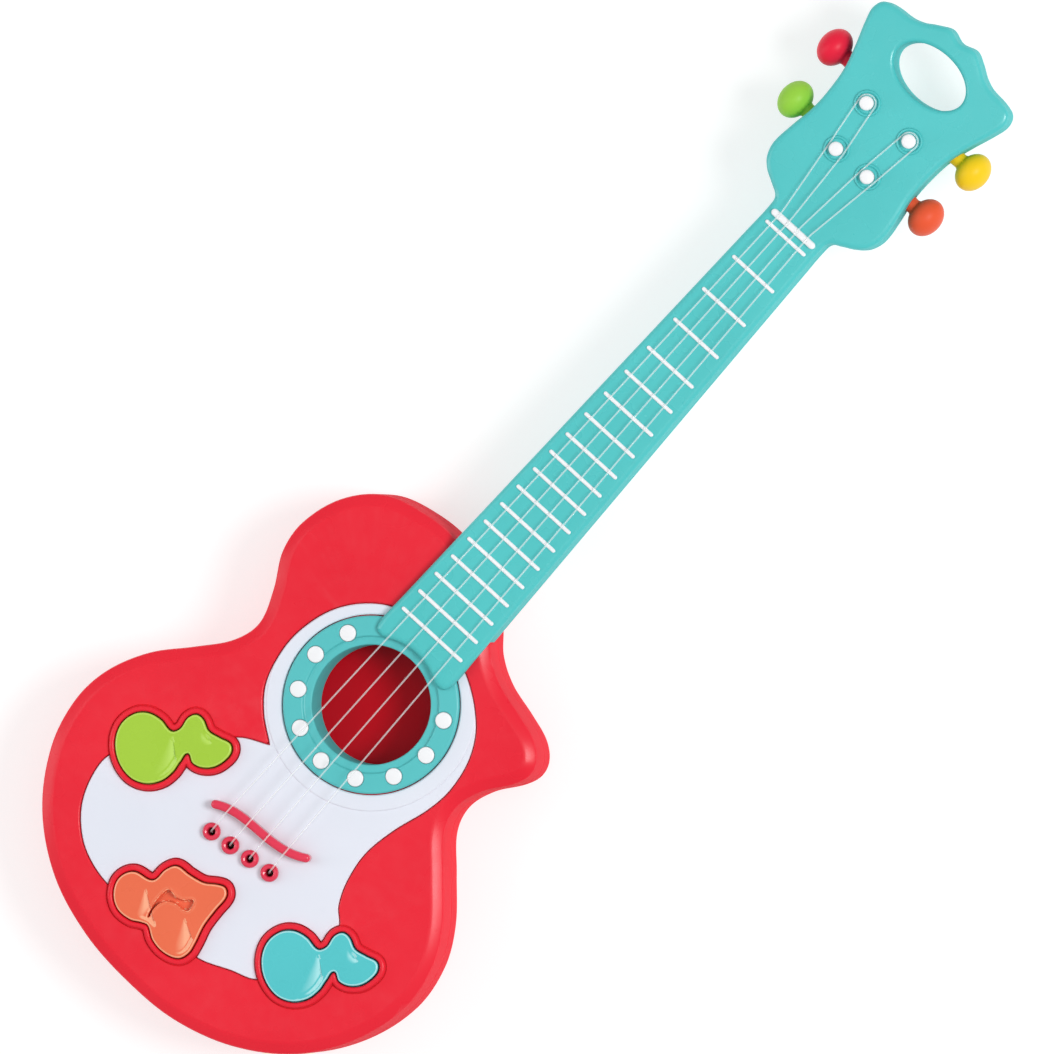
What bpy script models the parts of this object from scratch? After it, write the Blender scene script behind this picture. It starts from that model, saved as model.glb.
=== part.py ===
"""Toddler's battery-powered toy guitar, lying on its flat back, modelled as separate pieces.

Run it in Blender 4.5. +Z points out of the front, +Y up the neck, +X to the right seen from the front.
The origin is on the back face, straight below the middle of the sound hole. Sizes are in millimetres,
and each shape is turned to metres where it is made.
"""

import math

import bmesh
import bpy
import numpy as np
from mathutils import Matrix

MM = 0.001

# Heights above the back face
BODY_FRONT = 38.0
BODY_SPLIT = 17.0
NECK_FRONT = 42.0
NECK_SPLIT = 31.5
NECK_BACK = 24.5
RING_TOP = 39.4
RECESS_FLOOR = 35.8
PANEL_TOP = 37.6
FRET_TOP = 42.8
WELL_FLOOR = 15.2
BOARD_TOP = 23.6

# Walls, gaps and roundings
BODY_WALL = 2.4
NECK_WALL = 2.0
GAP = 0.3
SEAM = 0.15  # half of the gap between two shells
BODY_EDGE = 3.2
NECK_EDGE = 1.8
NECK_BACK_EDGE = 2.5
CEILING = 34.6  # underside of the body's front wall
THROUGH = 60.0  # past everything in height, for a cutter
WIDE = 400.0  # past everything sideways

# Outlines, anticlockwise from the front; a third entry keeps that point sharp
BODY_OUTLINE = [
    (0, 61), (-18, 66.8), (-34, 66), (-49, 61), (-60, 49), (-65, 33), (-63.5, 20), (-56.5, 7),
    (-52, -6), (-55, -17), (-64, -28.5), (-75.5, -42), (-83, -58), (-84.5, -74), (-79.5, -93),
    (-66, -113), (-46, -128), (-23, -136), (0, -138.5), (23, -137.3), (46, -129.8), (66, -115.7),
    (79, -97), (84.8, -76), (82.5, -58), (75, -43.5), (62, -28.5), (52, -17), (49.3, -7),
    (52.5, 3.5), (59.5, 13.5), (61.8, 20), (60, 26), (54, 31), (44, 34.3), (31, 37.8),
    (21, 43.5), (13, 52),
]
PANEL_OUTLINE = [
    (0, 38), (-18.3, 32.5), (-28, 25.5), (-35, 15.5), (-38.5, 3), (-38.5, -8), (-35, -20.5),
    (-28, -29.5), (-18.3, -36.8, "corner"), (-29.3, -42.8), (-46, -62), (-60.3, -79), (-61, -88),
    (-56.5, -100.5), (-47.8, -109.8), (-38, -114.6), (-27, -116.3), (13, -114.2), (26.7, -109),
    (37.3, -103.8), (46.5, -80), (46.3, -70), (41, -64), (37.3, -55.5), (35.4, -43), (37.5, -29.5),
    (42, -14.5), (43.2, -3), (40.5, 10.5), (33.5, 21.5), (19, 32),
]
NECK_HALF_OUTLINE = [
    (0, 25.7), (4.5, 25.3), (8.8, 24), (12, 22.5), (14.6, 22), (17.2, 23), (18.3, 27), (18, 38),
    (13, 227), (12.8, 238), (13.6, 242), (18, 244.8), (22.5, 247.4), (25.8, 251), (27.4, 256.5),
    (26.5, 265.7), (25, 275), (24.9, 284), (26, 294.5), (28.6, 303.4), (32, 313), (33.2, 318.4),
    (31.6, 322.6), (27, 324.3), (20, 325), (15.5, 326.6), (10.5, 329.7), (5.9, 331.7),
]
NECK_TIP = (0, 330.2)
NOTE_OUTLINE = [
    (-49.2, -57.7), (-55, -57.2), (-60.2, -58.5), (-63.9, -62.3), (-65, -68.4), (-62.3, -74.6),
    (-56.6, -79.2), (-49.4, -80.8), (-43.6, -78.7), (-39.8, -74), (-38.7, -68.6), (-39.2, -64),
    (-39.1, -59.6), (-35.3, -61), (-31.6, -59.9), (-28.4, -56.7), (-27, -52.4), (-27.2, -48.4),
    (-29.5, -46.3), (-33.8, -47.3), (-38.8, -48.2), (-43.3, -46.4), (-46.3, -46.8), (-47.8, -49.8),
    (-47.3, -54.8),
]
BEAMED_OUTLINE = [
    (-27.2, -111.3), (-24.9, -117.1), (-19.9, -120.4), (-14, -120.2), (-9.8, -118), (-7.3, -117.3),
    (-2.3, -120.1), (3.6, -120.8), (9.2, -118.8), (10.9, -114.8), (10.2, -110.2), (8.3, -103.2),
    (7.7, -95.8), (7.4, -89.6), (5, -87.4), (2.1, -88.4), (-2.3, -91.4), (-8.2, -92.8),
    (-14, -93.6), (-16.2, -97.3), (-17.2, -103.6), (-24.6, -106),
]
NOTE_TO_TEAL = (95.3, -23.3)  # the teal note is the green one moved
RIM_GROWTH = 2.8
RIM_HEIGHT = 1.4
BUTTON_GAP = 0.4
BUTTON_TOP = 41.0
BUTTON_WALL = 1.6
FLANGE_GROWTH = 1.4
FLANGE_HEIGHT = 1.7
PLUNGERS = {"green": (-50.5, -68.5), "orange": (-17.5, -112), "teal": (44.8, -91.8)}

# Sound hole and its ring of dots
RING_RADIUS = 33.2
ANNULUS_RADIUS = 36.8  # the step moulded round the ring
HOLE_RADIUS = 22.35
TUBE_RADIUS = 24.0
SHELL_HOLE_RADIUS = 30.0  # the shell's own hole, hidden under the ring
WELL_RADIUS = 26.6
WELL_FLANGE_RADIUS = 32.2  # the flange is glued under the rim of the shell's hole
DOT_CIRCLE = 28.0
DOT_RADIUS = 3.1
DOT_TURNS = range(2, 11)  # of the twelve places round the ring, the ones that the fingerboard leaves free

# Neck furniture
FIRST_FRET = 35.2
FRET_STEPS = [8.93] * 10 + [10.2, 10.6, 11.2, 12.2, 14.4, 15.6, 16.4, 18.0]
FRET_WIDTH = 1.5
FRET_MARGIN = 2.9
NUT_Y = 237.6
NUT_HALF_LENGTH = 10.6
NUT_WIDTH = 2.7
NUT_TOP = 43.7
STRIP_TOP = 39.7
STRIP_BOTTOM = 38.7
HANDLE_Y = 313.5
HANDLE_HALF = (15.6, 9.9)
UPPER_POST = (10.6, 290.6)
LOWER_POST = (7.8, 270.4)
POST_RADIUS = 2.7
PEG_ROWS = {"upper": (297.2, 34.8), "lower": (273.0, 32.9)}  # height up the neck, knob's distance out
KNOB_RADIUS = 7.8
KNOB_HALF_THICKNESS = 6.0
SHAFT_RADIUS = 3.3

# Strings, saddle and pins; each list runs from left to right
STRING_RADIUS = 0.5
PINS = [(-13, -75.3), (-4.3, -74.4), (4.5, -73.2), (13.5, -72.1)]
SADDLE_XS = [-13.1, -4.3, 4.5, 13.3]
NUT_XS = [-7.2, -2.8, 1.9, 6.5]
SADDLE_LINE = [
    (-18.4, -66.5), (-13.1, -64.3), (-7.7, -63.3), (0, -62.9), (6, -62.7), (12.6, -61.6), (17.4, -60.1),
    (20.3, -58.5),
]
SADDLE_WIDTH = 3.3
SADDLE_TOP = 42.6
SADDLE_FEET = [(-14.5, -64.9), (15, -60.9)]

# Inside the body
BODY_SCREWS = [(-24, 57), (47, 11), (-45, -12), (70, -58), (-66, -96), (30, -124)]
NECK_SCREWS = [(0, 110), (0, 190), (-25, 318), (25, 318)]
HEEL_SCREW = (0, 48)
BOARD_POSTS = [(-24, -60), (24, -64)]
BOARD_OUTLINE = [
    (-60, -56), (-58, -84), (-26, -118), (10, -116), (48, -104), (62, -84), (56, -62), (0, -48), (-40, -46),
]
SPEAKER = (-38, 35)
SWITCH = (36, 24)
SWITCH_TRAVEL = 8.0
BAY_LOW, BAY_HIGH = (-23.2, -106.0), (23.2, -50.0)
BAY_CEILING = 18.0
BAY_WALL = 1.6
CELL_RADIUS = 7.1
CELL_LENGTH = 49.2
DOOR_LOW, DOOR_HIGH = (-25.5, -108.3), (25.5, -40.5)
DOOR_SCREW = (0, -45)

RED = (0.84, 0.035, 0.05)
WHITE = (0.80, 0.82, 0.90)
TEAL = (0.10, 0.57, 0.58)
GREEN = (0.41, 0.64, 0.07)
ORANGE = (0.86, 0.18, 0.09)
YELLOW = (0.94, 0.63, 0.03)
STEEL = (0.55, 0.55, 0.57)
BLACK = (0.03, 0.03, 0.035)


# Collections, objects and materials


def clear_scene():
    for obj in list(bpy.data.objects):
        bpy.data.objects.remove(obj)


def new_collection(name):
    collection = bpy.data.collections.new(name)
    bpy.context.scene.collection.children.link(collection)
    return collection


def add_object(name, data, collection):
    obj = bpy.data.objects.new(name, data)
    collection.objects.link(obj)
    return obj


def as_helper(obj):
    """A cutter, or a shape that is joined to a part: drawn as wires and never rendered."""
    for collection in obj.users_collection:
        collection.objects.unlink(obj)
    CUTTERS.objects.link(obj)
    obj.hide_render = True
    obj.display_type = "WIRE"
    return obj


def finish(obj, colour, roughness=0.3, metallic=0.0):
    material = bpy.data.materials.new(obj.name)
    material.use_nodes = True
    shader = material.node_tree.nodes["Principled BSDF"]
    shader.inputs["Base Color"].default_value = (*colour, 1.0)
    shader.inputs["Roughness"].default_value = roughness
    shader.inputs["Metallic"].default_value = metallic
    obj.data.materials.clear()
    obj.data.materials.append(material)
    return obj


def combine(obj, operation, tools):
    for tool in tools:
        as_helper(tool)
        modifier = obj.modifiers.new(operation.lower(), "BOOLEAN")
        modifier.operation = operation
        modifier.object = tool
    return obj


def cut(obj, *tools):
    return combine(obj, "DIFFERENCE", tools)


def join(obj, *tools):
    return combine(obj, "UNION", tools)


# Outlines


def smooth(outline, steps=2):
    """Points along a smooth closed curve through the outline."""
    places = np.array([point[:2] for point in outline], float)
    count = len(outline)
    points = []
    for i in range(count):
        before, start, end, after = (places[(i + k) % count] for k in (-1, 0, 1, 2))
        if len(outline[i]) > 2:
            before = start
        if len(outline[(i + 1) % count]) > 2:
            after = end
        chord = np.linalg.norm(end - start)
        leave = (end - before) / np.linalg.norm(end - before) * chord
        arrive = (after - start) / np.linalg.norm(after - start) * chord
        for t in np.arange(steps) / steps:
            points.append(
                (2 * t**3 - 3 * t**2 + 1) * start + (t**3 - 2 * t**2 + t) * leave
                + (3 * t**2 - 2 * t**3) * end + (t**3 - t**2) * arrive
            )
    return np.array(points)


def grown(points, distance):
    """The outline moved outwards, or inwards if distance is negative, without the loops that this makes."""
    points = np.array(points, float)
    if distance == 0:
        return points
    ahead = np.roll(points, -1, 0)
    along = ahead - np.roll(points, 1, 0)
    normal = np.column_stack([along[:, 1], -along[:, 0]])
    moved = points + distance * normal / np.linalg.norm(normal, axis=1)[:, None]
    side = ahead - points
    offset = moved[:, None] - points[None]
    share = np.clip((offset * side).sum(2) / (side**2).sum(1), 0, 1)
    clearance = np.linalg.norm(offset - share[:, :, None] * side, axis=2).min(1)
    return moved[clearance > 0.93 * abs(distance)]


def ellipse(centre, half, count=24):
    turns = 2 * math.pi * (np.arange(count) + 0.5) / count
    return np.column_stack([centre[0] + half[0] * np.cos(turns), centre[1] + half[1] * np.sin(turns)])


def bar(centre, half_length, half_width):
    """A straight bar along X."""
    (x, y), a, b = centre, half_length, half_width
    return np.array([(x - a, y - b), (x + a, y - b), (x + a, y + b), (x - a, y + b)])


def ribbon(line, width):
    """A band with round ends along a line."""
    places = np.array(line, float)
    along = np.gradient(places, axis=0)
    normal = np.column_stack([along[:, 1], -along[:, 0]]) / np.linalg.norm(along, axis=1)[:, None]
    right, left = places + normal * width / 2, (places - normal * width / 2)[::-1]
    points = []
    for edge, end, sign in ((right, -1, 1), (left, 0, -1)):
        points.extend(edge)
        tip = sign * along[end] / np.linalg.norm(along[end])
        for angle in (30, 90, 150):
            side = sign * math.cos(math.radians(angle)) * normal[end]
            points.append(places[end] + (side + math.sin(math.radians(angle)) * tip) * width / 2)
    return np.array(points)


# Shapes


def plates(name, outlines, low, high, edge=0.0):
    """Flat solids between two heights, one for each outline, with both rims rounded by edge."""
    curve = bpy.data.curves.new(name, "CURVE")
    curve.dimensions = "2D"
    curve.fill_mode = "BOTH"
    curve.extrude = ((high - low) / 2 - edge) * MM
    curve.bevel_depth = edge * MM
    curve.bevel_resolution = 0
    for outline in outlines:
        points = grown(outline, -edge)
        spline = curve.splines.new("POLY")
        spline.points.add(len(points) - 1)
        for point, place in zip(spline.points, points):
            point.co = (place[0] * MM, place[1] * MM, 0, 1)
        spline.use_cyclic_u = True
    guide = add_object(name + "_curve", curve, PARTS)
    bpy.context.view_layer.update()
    graph = bpy.context.evaluated_depsgraph_get()
    mesh = bpy.data.meshes.new_from_object(guide.evaluated_get(graph))
    bpy.data.objects.remove(guide)
    bm = bmesh.new()
    bm.from_mesh(mesh)
    bmesh.ops.remove_doubles(bm, verts=bm.verts, dist=1e-6)
    bmesh.ops.translate(bm, verts=bm.verts, vec=(0, 0, (low + high) / 2 * MM))
    bmesh.ops.recalc_face_normals(bm, faces=bm.faces)
    bm.to_mesh(mesh)
    bm.free()
    mesh.name = name
    return add_object(name, mesh, PARTS)


def plate(name, outline, low, high, edge=0.0):
    return plates(name, [outline], low, high, edge)


def block(name, low, high):
    """A box between two corners."""
    size = [b - a for a, b in zip(low, high)]
    middle = [(a + b) / 2 * MM for a, b in zip(low, high)]
    bm = bmesh.new()
    bmesh.ops.create_cube(bm, size=MM)
    bmesh.ops.scale(bm, verts=bm.verts, vec=size)
    bmesh.ops.translate(bm, verts=bm.verts, vec=middle)
    mesh = bpy.data.meshes.new(name)
    bm.to_mesh(mesh)
    bm.free()
    return add_object(name, mesh, PARTS)


def frame_block(name, low, high, margin, bottom, top):
    """A box between two heights over a rectangle widened by a margin."""
    return block(
        name, (low[0] - margin, low[1] - margin, bottom), (high[0] + margin, high[1] + margin, top)
    )


def everywhere(name, bottom, top):
    """A slice of space wider than the whole guitar."""
    return block(name, (-WIDE, -WIDE, bottom), (WIDE, WIDE, top))


def rods(name, centres, radius, low, high, segments=8):
    """Upright cylinders of one size."""
    bm = bmesh.new()
    for x, y in centres:
        made = bmesh.ops.create_cone(
            bm, cap_ends=True, segments=segments, radius1=radius * MM, radius2=radius * MM,
            depth=(high - low) * MM,
        )
        bmesh.ops.translate(bm, verts=made["verts"], vec=(x * MM, y * MM, (low + high) / 2 * MM))
    mesh = bpy.data.meshes.new(name)
    bm.to_mesh(mesh)
    bm.free()
    mesh.shade_smooth()
    mesh.set_sharp_from_angle(angle=math.radians(40))
    return add_object(name, mesh, PARTS)


def turned(name, profile, at=(0, 0, 0), turn=None, steps=12, closed=False):
    """A turned solid. The profile lists (radius, height) down the outer side, from the axis to the axis,
    or all the way round if it is closed."""
    mesh = bpy.data.meshes.new(name)
    edges = [(i, i + 1) for i in range(len(profile) - 1)]
    if closed:
        edges.append((len(profile) - 1, 0))
    mesh.from_pydata([(r * MM, 0, z * MM) for r, z in profile], edges, [])
    obj = add_object(name, mesh, PARTS)
    obj.location = [value * MM for value in at]
    if turn:
        obj.rotation_euler = turn
    screw = obj.modifiers.new("turn", "SCREW")
    screw.steps = screw.render_steps = steps
    screw.use_merge_vertices = True
    screw.merge_threshold = 1e-6
    screw.use_smooth_shade = True
    return obj


def tube(name, points, radius, resolution=2):
    curve = bpy.data.curves.new(name, "CURVE")
    curve.dimensions = "3D"
    curve.bevel_depth = radius * MM
    curve.bevel_resolution = resolution
    curve.use_fill_caps = True
    spline = curve.splines.new("POLY")
    spline.points.add(len(points) - 1)
    for point, place in zip(spline.points, points):
        point.co = (*(value * MM for value in place), 1)
    return add_object(name, curve, PARTS)


def screw(name, at, head_low, shank_top, head_radius=2.8, shank_radius=1.1, head_height=2.0):
    """A pan-head screw driven upwards from the back."""
    profile = [
        (0, shank_top), (shank_radius, shank_top - 1.5), (shank_radius, head_low + head_height),
        (head_radius, head_low + head_height), (head_radius, head_low + 0.6), (head_radius - 0.8, head_low),
        (0, head_low),
    ]
    return finish(turned(name, profile, at=(*at, 0), steps=8), STEEL, 0.35, 1.0)


# Outlines that several pieces share


def neck_outline():
    left = [(-x, y) for x, y in reversed(NECK_HALF_OUTLINE[1:])]
    return np.array([*NECK_HALF_OUTLINE, NECK_TIP, *left], float)


def button_outline(which):
    if which == "orange":
        return np.array(BEAMED_OUTLINE, float)
    note = np.array(NOTE_OUTLINE, float)
    return note if which == "green" else note + np.array(NOTE_TO_TEAL)


def fret_places():
    return [FIRST_FRET + sum(FRET_STEPS[:i]) for i in range(len(FRET_STEPS) + 1)]


def fret_half_length(y):
    """The fingerboard narrows in a straight line; each fret stops short of its sides."""
    (low_half, low), (high_half, high) = NECK_HALF_OUTLINE[7], NECK_HALF_OUTLINE[8]
    return low_half + (high_half - low_half) * (y - low) / (high - low) - FRET_MARGIN


def dot_places():
    turns = [math.radians(90 + 30 * i) for i in DOT_TURNS]
    return [(DOT_CIRCLE * math.cos(turn), DOT_CIRCLE * math.sin(turn)) for turn in turns]


# Body


def body_front_shell(body, panel):
    shell = plate("body_front_shell", body, BODY_SPLIT - 8, BODY_FRONT, BODY_EDGE)
    cut(
        shell,
        everywhere("below_split", -1, BODY_SPLIT + SEAM),
        plate("front_cavity", grown(body, -BODY_WALL), 2, CEILING),
    )
    join(
        shell,
        rods("screw_bosses", BODY_SCREWS, 3.6, 9.3, CEILING + 0.8),
        rods("board_bosses", BOARD_POSTS, 2.6, BOARD_TOP + GAP, CEILING + 0.8),
        rods("heel_boss", [HEEL_SCREW], 3.6, NECK_SPLIT, CEILING + 0.8),
    )
    cut(shell, plate("panel_recess", grown(panel, GAP), RECESS_FLOOR, BODY_FRONT + 9))
    for which in PLUNGERS:
        rim = grown(button_outline(which), RIM_GROWTH)
        join(shell, plate("rim_" + which, rim, CEILING + 0.4, BODY_FRONT + RIM_HEIGHT))
    for which in PLUNGERS:
        hole = grown(button_outline(which), BUTTON_GAP)
        cut(shell, plate("button_hole_" + which, hole, CEILING - 9, BODY_FRONT + 9))
    cut(
        shell,
        rods("sound_hole", [(0, 0)], SHELL_HOLE_RADIUS, CEILING - 9, BODY_FRONT + 9, 28),
        rods("pin_holes", PINS, 3.1, CEILING - 9, BODY_FRONT + 9, 8),
        rods("foot_holes", SADDLE_FEET, 1.5, CEILING - 9, BODY_FRONT + 9, 8),
        rods("screw_pilots", BODY_SCREWS, 1.6, 5, 22, 6),
        rods("board_pilots", BOARD_POSTS, 1.5, 20, 31, 6),
        rods("heel_pilot", [HEEL_SCREW], 1.6, 28, 34, 6),
        block("tongue_window", (-11.4, 44, NECK_BACK + 2), (11.4, 80, NECK_SPLIT)),
    )
    return finish(shell, RED, 0.22)


def body_back_shell(body):
    shell = plate("body_back_shell", body, 0, BODY_SPLIT + 8, BODY_EDGE)
    cut(
        shell,
        everywhere("above_split", BODY_SPLIT - SEAM, THROUGH),
        plate("back_cavity", grown(body, -BODY_WALL), BODY_WALL, THROUGH),
    )
    x, y = SWITCH
    speaker_wall = [(19.4, 6), (19.4, 1.5), (18, 1.5), (18, 6)]
    join(
        shell,
        rods("screw_sleeves", BODY_SCREWS, 5, 1, 9),
        frame_block("door_ledge", DOOR_LOW, DOOR_HIGH, 2, 1, BODY_WALL + 2),
        frame_block("bay", BAY_LOW, BAY_HIGH, BAY_WALL, 1, BAY_CEILING + BAY_WALL),
        rods("door_boss", [DOOR_SCREW], 3.6, 1, 12),
        turned("speaker_wall", speaker_wall, at=(*SPEAKER, 0), steps=16, closed=True),
        block("switch_pocket", (x - 12, y - 7, 1), (x + 12, y + 7, 6.4)),
    )
    grille = [SPEAKER]
    for ring, count in ((5, 6), (10, 8)):
        turns = [2 * math.pi * i / count for i in range(count)]
        grille += [(SPEAKER[0] + ring * math.cos(t), SPEAKER[1] + ring * math.sin(t)) for t in turns]
    cut(
        shell,
        frame_block("bay_inside", BAY_LOW, BAY_HIGH, 0, -1, BAY_CEILING),
        frame_block("door_seat", DOOR_LOW, DOOR_HIGH, GAP, -1, BODY_WALL),
        rods("door_pilot", [DOOR_SCREW], 1.6, 1, 10, 6),
        rods("counterbores", BODY_SCREWS, 3.4, -1, 5.7),
        rods("screw_holes", BODY_SCREWS, 1.8, 4, 12, 6),
        rods("grille", grille, 1.2, -1, 5, 6),
        block("switch_recess", (x - 8, y - 4.5, -1), (x + 8, y + 4.5, 3.6)),
        block("switch_slot", (x - 6.2, y - 2, 2), (x + 6.2, y + 2, 8)),
    )
    return finish(shell, RED, 0.25)


def pickguard_panel(panel):
    guard = plate("pickguard_panel", panel, RECESS_FLOOR + GAP, PANEL_TOP)
    join(guard, rods("annulus", [(0, 0)], ANNULUS_RADIUS, PANEL_TOP - 0.5, PANEL_TOP + 0.4, 28))
    for which in PLUNGERS:
        window = grown(button_outline(which), RIM_GROWTH + GAP)
        cut(guard, plate("panel_window_" + which, window, RECESS_FLOOR - 3, BODY_FRONT + 9))
    cut(
        guard,
        rods("ring_window", [(0, 0)], RING_RADIUS + 2 * GAP, RECESS_FLOOR - 3, BODY_FRONT + 9, 28),
        rods("panel_pin_holes", PINS, 3.1, RECESS_FLOOR - 3, BODY_FRONT + 9, 8),
        rods("panel_foot_holes", SADDLE_FEET, 1.5, RECESS_FLOOR - 3, BODY_FRONT + 9, 8),
    )
    return finish(guard, WHITE, 0.3)


def sound_hole_pieces():
    floor = RECESS_FLOOR + GAP
    profile = [
        (24.6, RING_TOP), (32.4, RING_TOP), (RING_RADIUS, RING_TOP - 0.8), (RING_RADIUS, floor),
        (31.7, floor),
        (31.7, RING_TOP - 1.6), (TUBE_RADIUS, RING_TOP - 1.6), (TUBE_RADIUS, WELL_FLOOR + 0.5),
        (HOLE_RADIUS, WELL_FLOOR + 0.5), (HOLE_RADIUS, RING_TOP - 1.1),
    ]
    ring = turned("rosette_ring", profile, steps=28, closed=True)
    cut(ring, rods("dot_holes", dot_places(), DOT_RADIUS + GAP, 35, 45))
    finish(ring, TEAL, 0.25)

    carrier = [(31.3, RING_TOP - 1.9), (31.3, floor), (25.2, floor), (25.2, RING_TOP - 1.9)]
    dots = turned("rosette_dots", carrier, steps=28, closed=True)
    join(dots, rods("dot_studs", dot_places(), DOT_RADIUS, floor + 0.4, RING_TOP + 0.2))
    finish(dots, WHITE, 0.2)

    flange_top = CEILING - GAP
    inside = [(0, WELL_FLOOR), (WELL_RADIUS - 1.6, WELL_FLOOR), (WELL_RADIUS - 1.6, flange_top)]
    outside = [
        (WELL_FLANGE_RADIUS, flange_top), (WELL_FLANGE_RADIUS, flange_top - 1.6),
        (WELL_RADIUS, flange_top - 1.6), (WELL_RADIUS, WELL_FLOOR - 2), (0, WELL_FLOOR - 2),
    ]
    finish(turned("sound_well", inside + outside, steps=24), RED, 0.2)


def bridge():
    saddle = plate("bridge_saddle", ribbon(SADDLE_LINE, SADDLE_WIDTH), PANEL_TOP + GAP, SADDLE_TOP)
    join(saddle, rods("saddle_feet", SADDLE_FEET, 1.1, 33, PANEL_TOP + 2, 8))
    finish(saddle, RED, 0.25)
    for number, (x, y) in enumerate(PINS, 1):
        profile = [
            (1.9, 39.7), (2.9, 39.5), (3.4, 38.9), (3.4, PANEL_TOP + GAP), (2.5, PANEL_TOP + GAP),
            (2.5, 33.5), (1.4, 33.5), (1.4, 39.2),
        ]
        finish(turned(f"string_pin_{number}", profile, at=(x, y, 0), steps=10, closed=True), RED, 0.25)


# Buttons and what they press


def buttons():
    colours = {"green": GREEN, "orange": ORANGE, "teal": TEAL}
    for which, (x, y) in PLUNGERS.items():
        outline = button_outline(which)
        button = plate("button_" + which, outline, CEILING - 1.2, BUTTON_TOP)
        flange_top = CEILING - GAP
        skirt = grown(outline, FLANGE_GROWTH)
        join(button, plate("flange_" + which, skirt, flange_top - FLANGE_HEIGHT, flange_top))
        cut(button, plate("hollow_" + which, grown(outline, -BUTTON_WALL), 25, BUTTON_TOP - BUTTON_WALL))
        join(button, rods("plunger_" + which, [(x, y)], 2.4, BOARD_TOP + 5.7, BUTTON_TOP - 1, 12))
        button.data.transform(Matrix.Translation((-x * MM, -y * MM, 0)))
        button.location = (x * MM, y * MM, 0)
        finish(button, colours[which], 0.2)

        base = BOARD_TOP + GAP
        dome = [
            (0, base + 5.1), (2.4, base + 5.1), (2.8, base + 3.6), (4.6, base + 1.2), (5.6, base + 1.0),
            (5.6, base), (0, base),
        ]
        finish(turned("rubber_dome_" + which, dome, at=(x, y, 0), steps=12), (0.5, 0.5, 0.52), 0.7)


def circuit():
    board = plate("key_board", BOARD_OUTLINE, BOARD_TOP - 1.6, BOARD_TOP)
    cut(board, rods("board_holes", BOARD_POSTS, 1.6, 15, 30, 6))
    finish(board, (0.35, 0.20, 0.06), 0.5)
    low = BOARD_TOP - 1.6 - GAP
    chip = [(0, low), (6, low), (5.4, low - 1.2), (3, low - 2), (0, low - 2.2)]
    finish(turned("sound_chip", chip, at=(38, -72, 0), steps=12), BLACK, 0.3)
    for number, place in enumerate(BOARD_POSTS, 1):
        screw(f"board_screw_{number}", place, low - 1.8, 30, 2.6, 1.0, 1.8)


def speaker():
    basket = [
        (9.5, 16), (9.5, 9.8), (16.2, 4.4), (17.6, 4.4), (17.6, 2.8), (15.6, 2.8), (8.4, 8.6), (0, 8.6),
    ]
    finish(turned("speaker_basket", [(0, 16)] + basket, at=(*SPEAKER, 0), steps=16), STEEL, 0.5, 1.0)
    cone = [
        (0, 7.9), (4, 7.9), (7.6, 8), (14.6, 3.1), (14.6, 2.9), (14, 2.9), (7.4, 7.2), (4.2, 6), (0, 5.4),
    ]
    finish(turned("speaker_cone", cone, at=(*SPEAKER, 0), steps=16), BLACK, 0.8)


def battery_bay():
    middle_y = (BAY_LOW[1] + BAY_HIGH[1]) / 2
    height = CELL_RADIUS + 3.3
    half = CELL_LENGTH / 2
    for number, x in enumerate((-15.2, 0, 15.2), 1):
        flip = -1 if number == 2 else 1
        profile = [
            (0, half + 1.2), (2.7, half + 1.2), (2.7, half), (CELL_RADIUS, half), (CELL_RADIUS, -half),
            (0, -half),
        ]
        turn = (flip * math.pi / 2, 0, 0)
        cell = turned(f"battery_cell_{number}", profile, at=(x, middle_y, height), turn=turn)
        finish(cell, (0.12, 0.13, 0.16), 0.35, 0.6)
    for name, wall, inwards in (("lower", BAY_LOW[1], 1), ("upper", BAY_HIGH[1], -1)):
        faces = sorted((wall + inwards * GAP, wall + inwards * (GAP + 0.6)))
        strip = block("battery_contact_" + name, (-21, faces[0], 5.5), (21, faces[1], 15.5))
        finish(strip, STEEL, 0.3, 1.0)
    door = block("battery_door", (*DOOR_LOW, 0.3), (*DOOR_HIGH, 2.1))
    cut(
        door,
        rods("door_counterbore", [DOOR_SCREW], 3.3, -1, 1.3),
        rods("door_hole", [DOOR_SCREW], 1.7, 0, 3, 6),
    )
    finish(door, RED, 0.25)
    screw("battery_door_screw", DOOR_SCREW, 0.5, 8.5, 2.7, 1.1, 0.73)


def power_switch():
    x, y = SWITCH
    start = x - SWITCH_TRAVEL / 2
    slider = block("power_switch_slider", (start - 3.4, y - 4.1, 0.6), (start + 3.4, y + 4.1, 3.3))
    join(slider, block("slider_stem", (start - 1.6, y - 1.6, 2.5), (start + 1.6, y + 1.6, 8.6)))
    slider.data.transform(Matrix.Translation((-start * MM, -y * MM, 0)))
    slider.location = (start * MM, y * MM, 0)
    finish(slider, WHITE, 0.35)
    housing = block("power_switch_body", (x - 9, y - 4, 6.7), (x + 9, y + 4, 12.5))
    cut(housing, block("housing_slot", (x - 6.4, y - 2, 5), (x + 6.4, y + 2, 9.4)))
    finish(housing, STEEL, 0.4, 0.8)


# Neck and headstock


def neck_cavity(name, neck, body, low, high):
    """The room inside the neck, stopped by a wall where the neck meets the body."""
    room = plate(name, grown(neck, -NECK_WALL - GAP), low, high)
    return cut(room, plate(name + "_stop", grown(body, 2.5), low - 5, high + 5))


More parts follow.
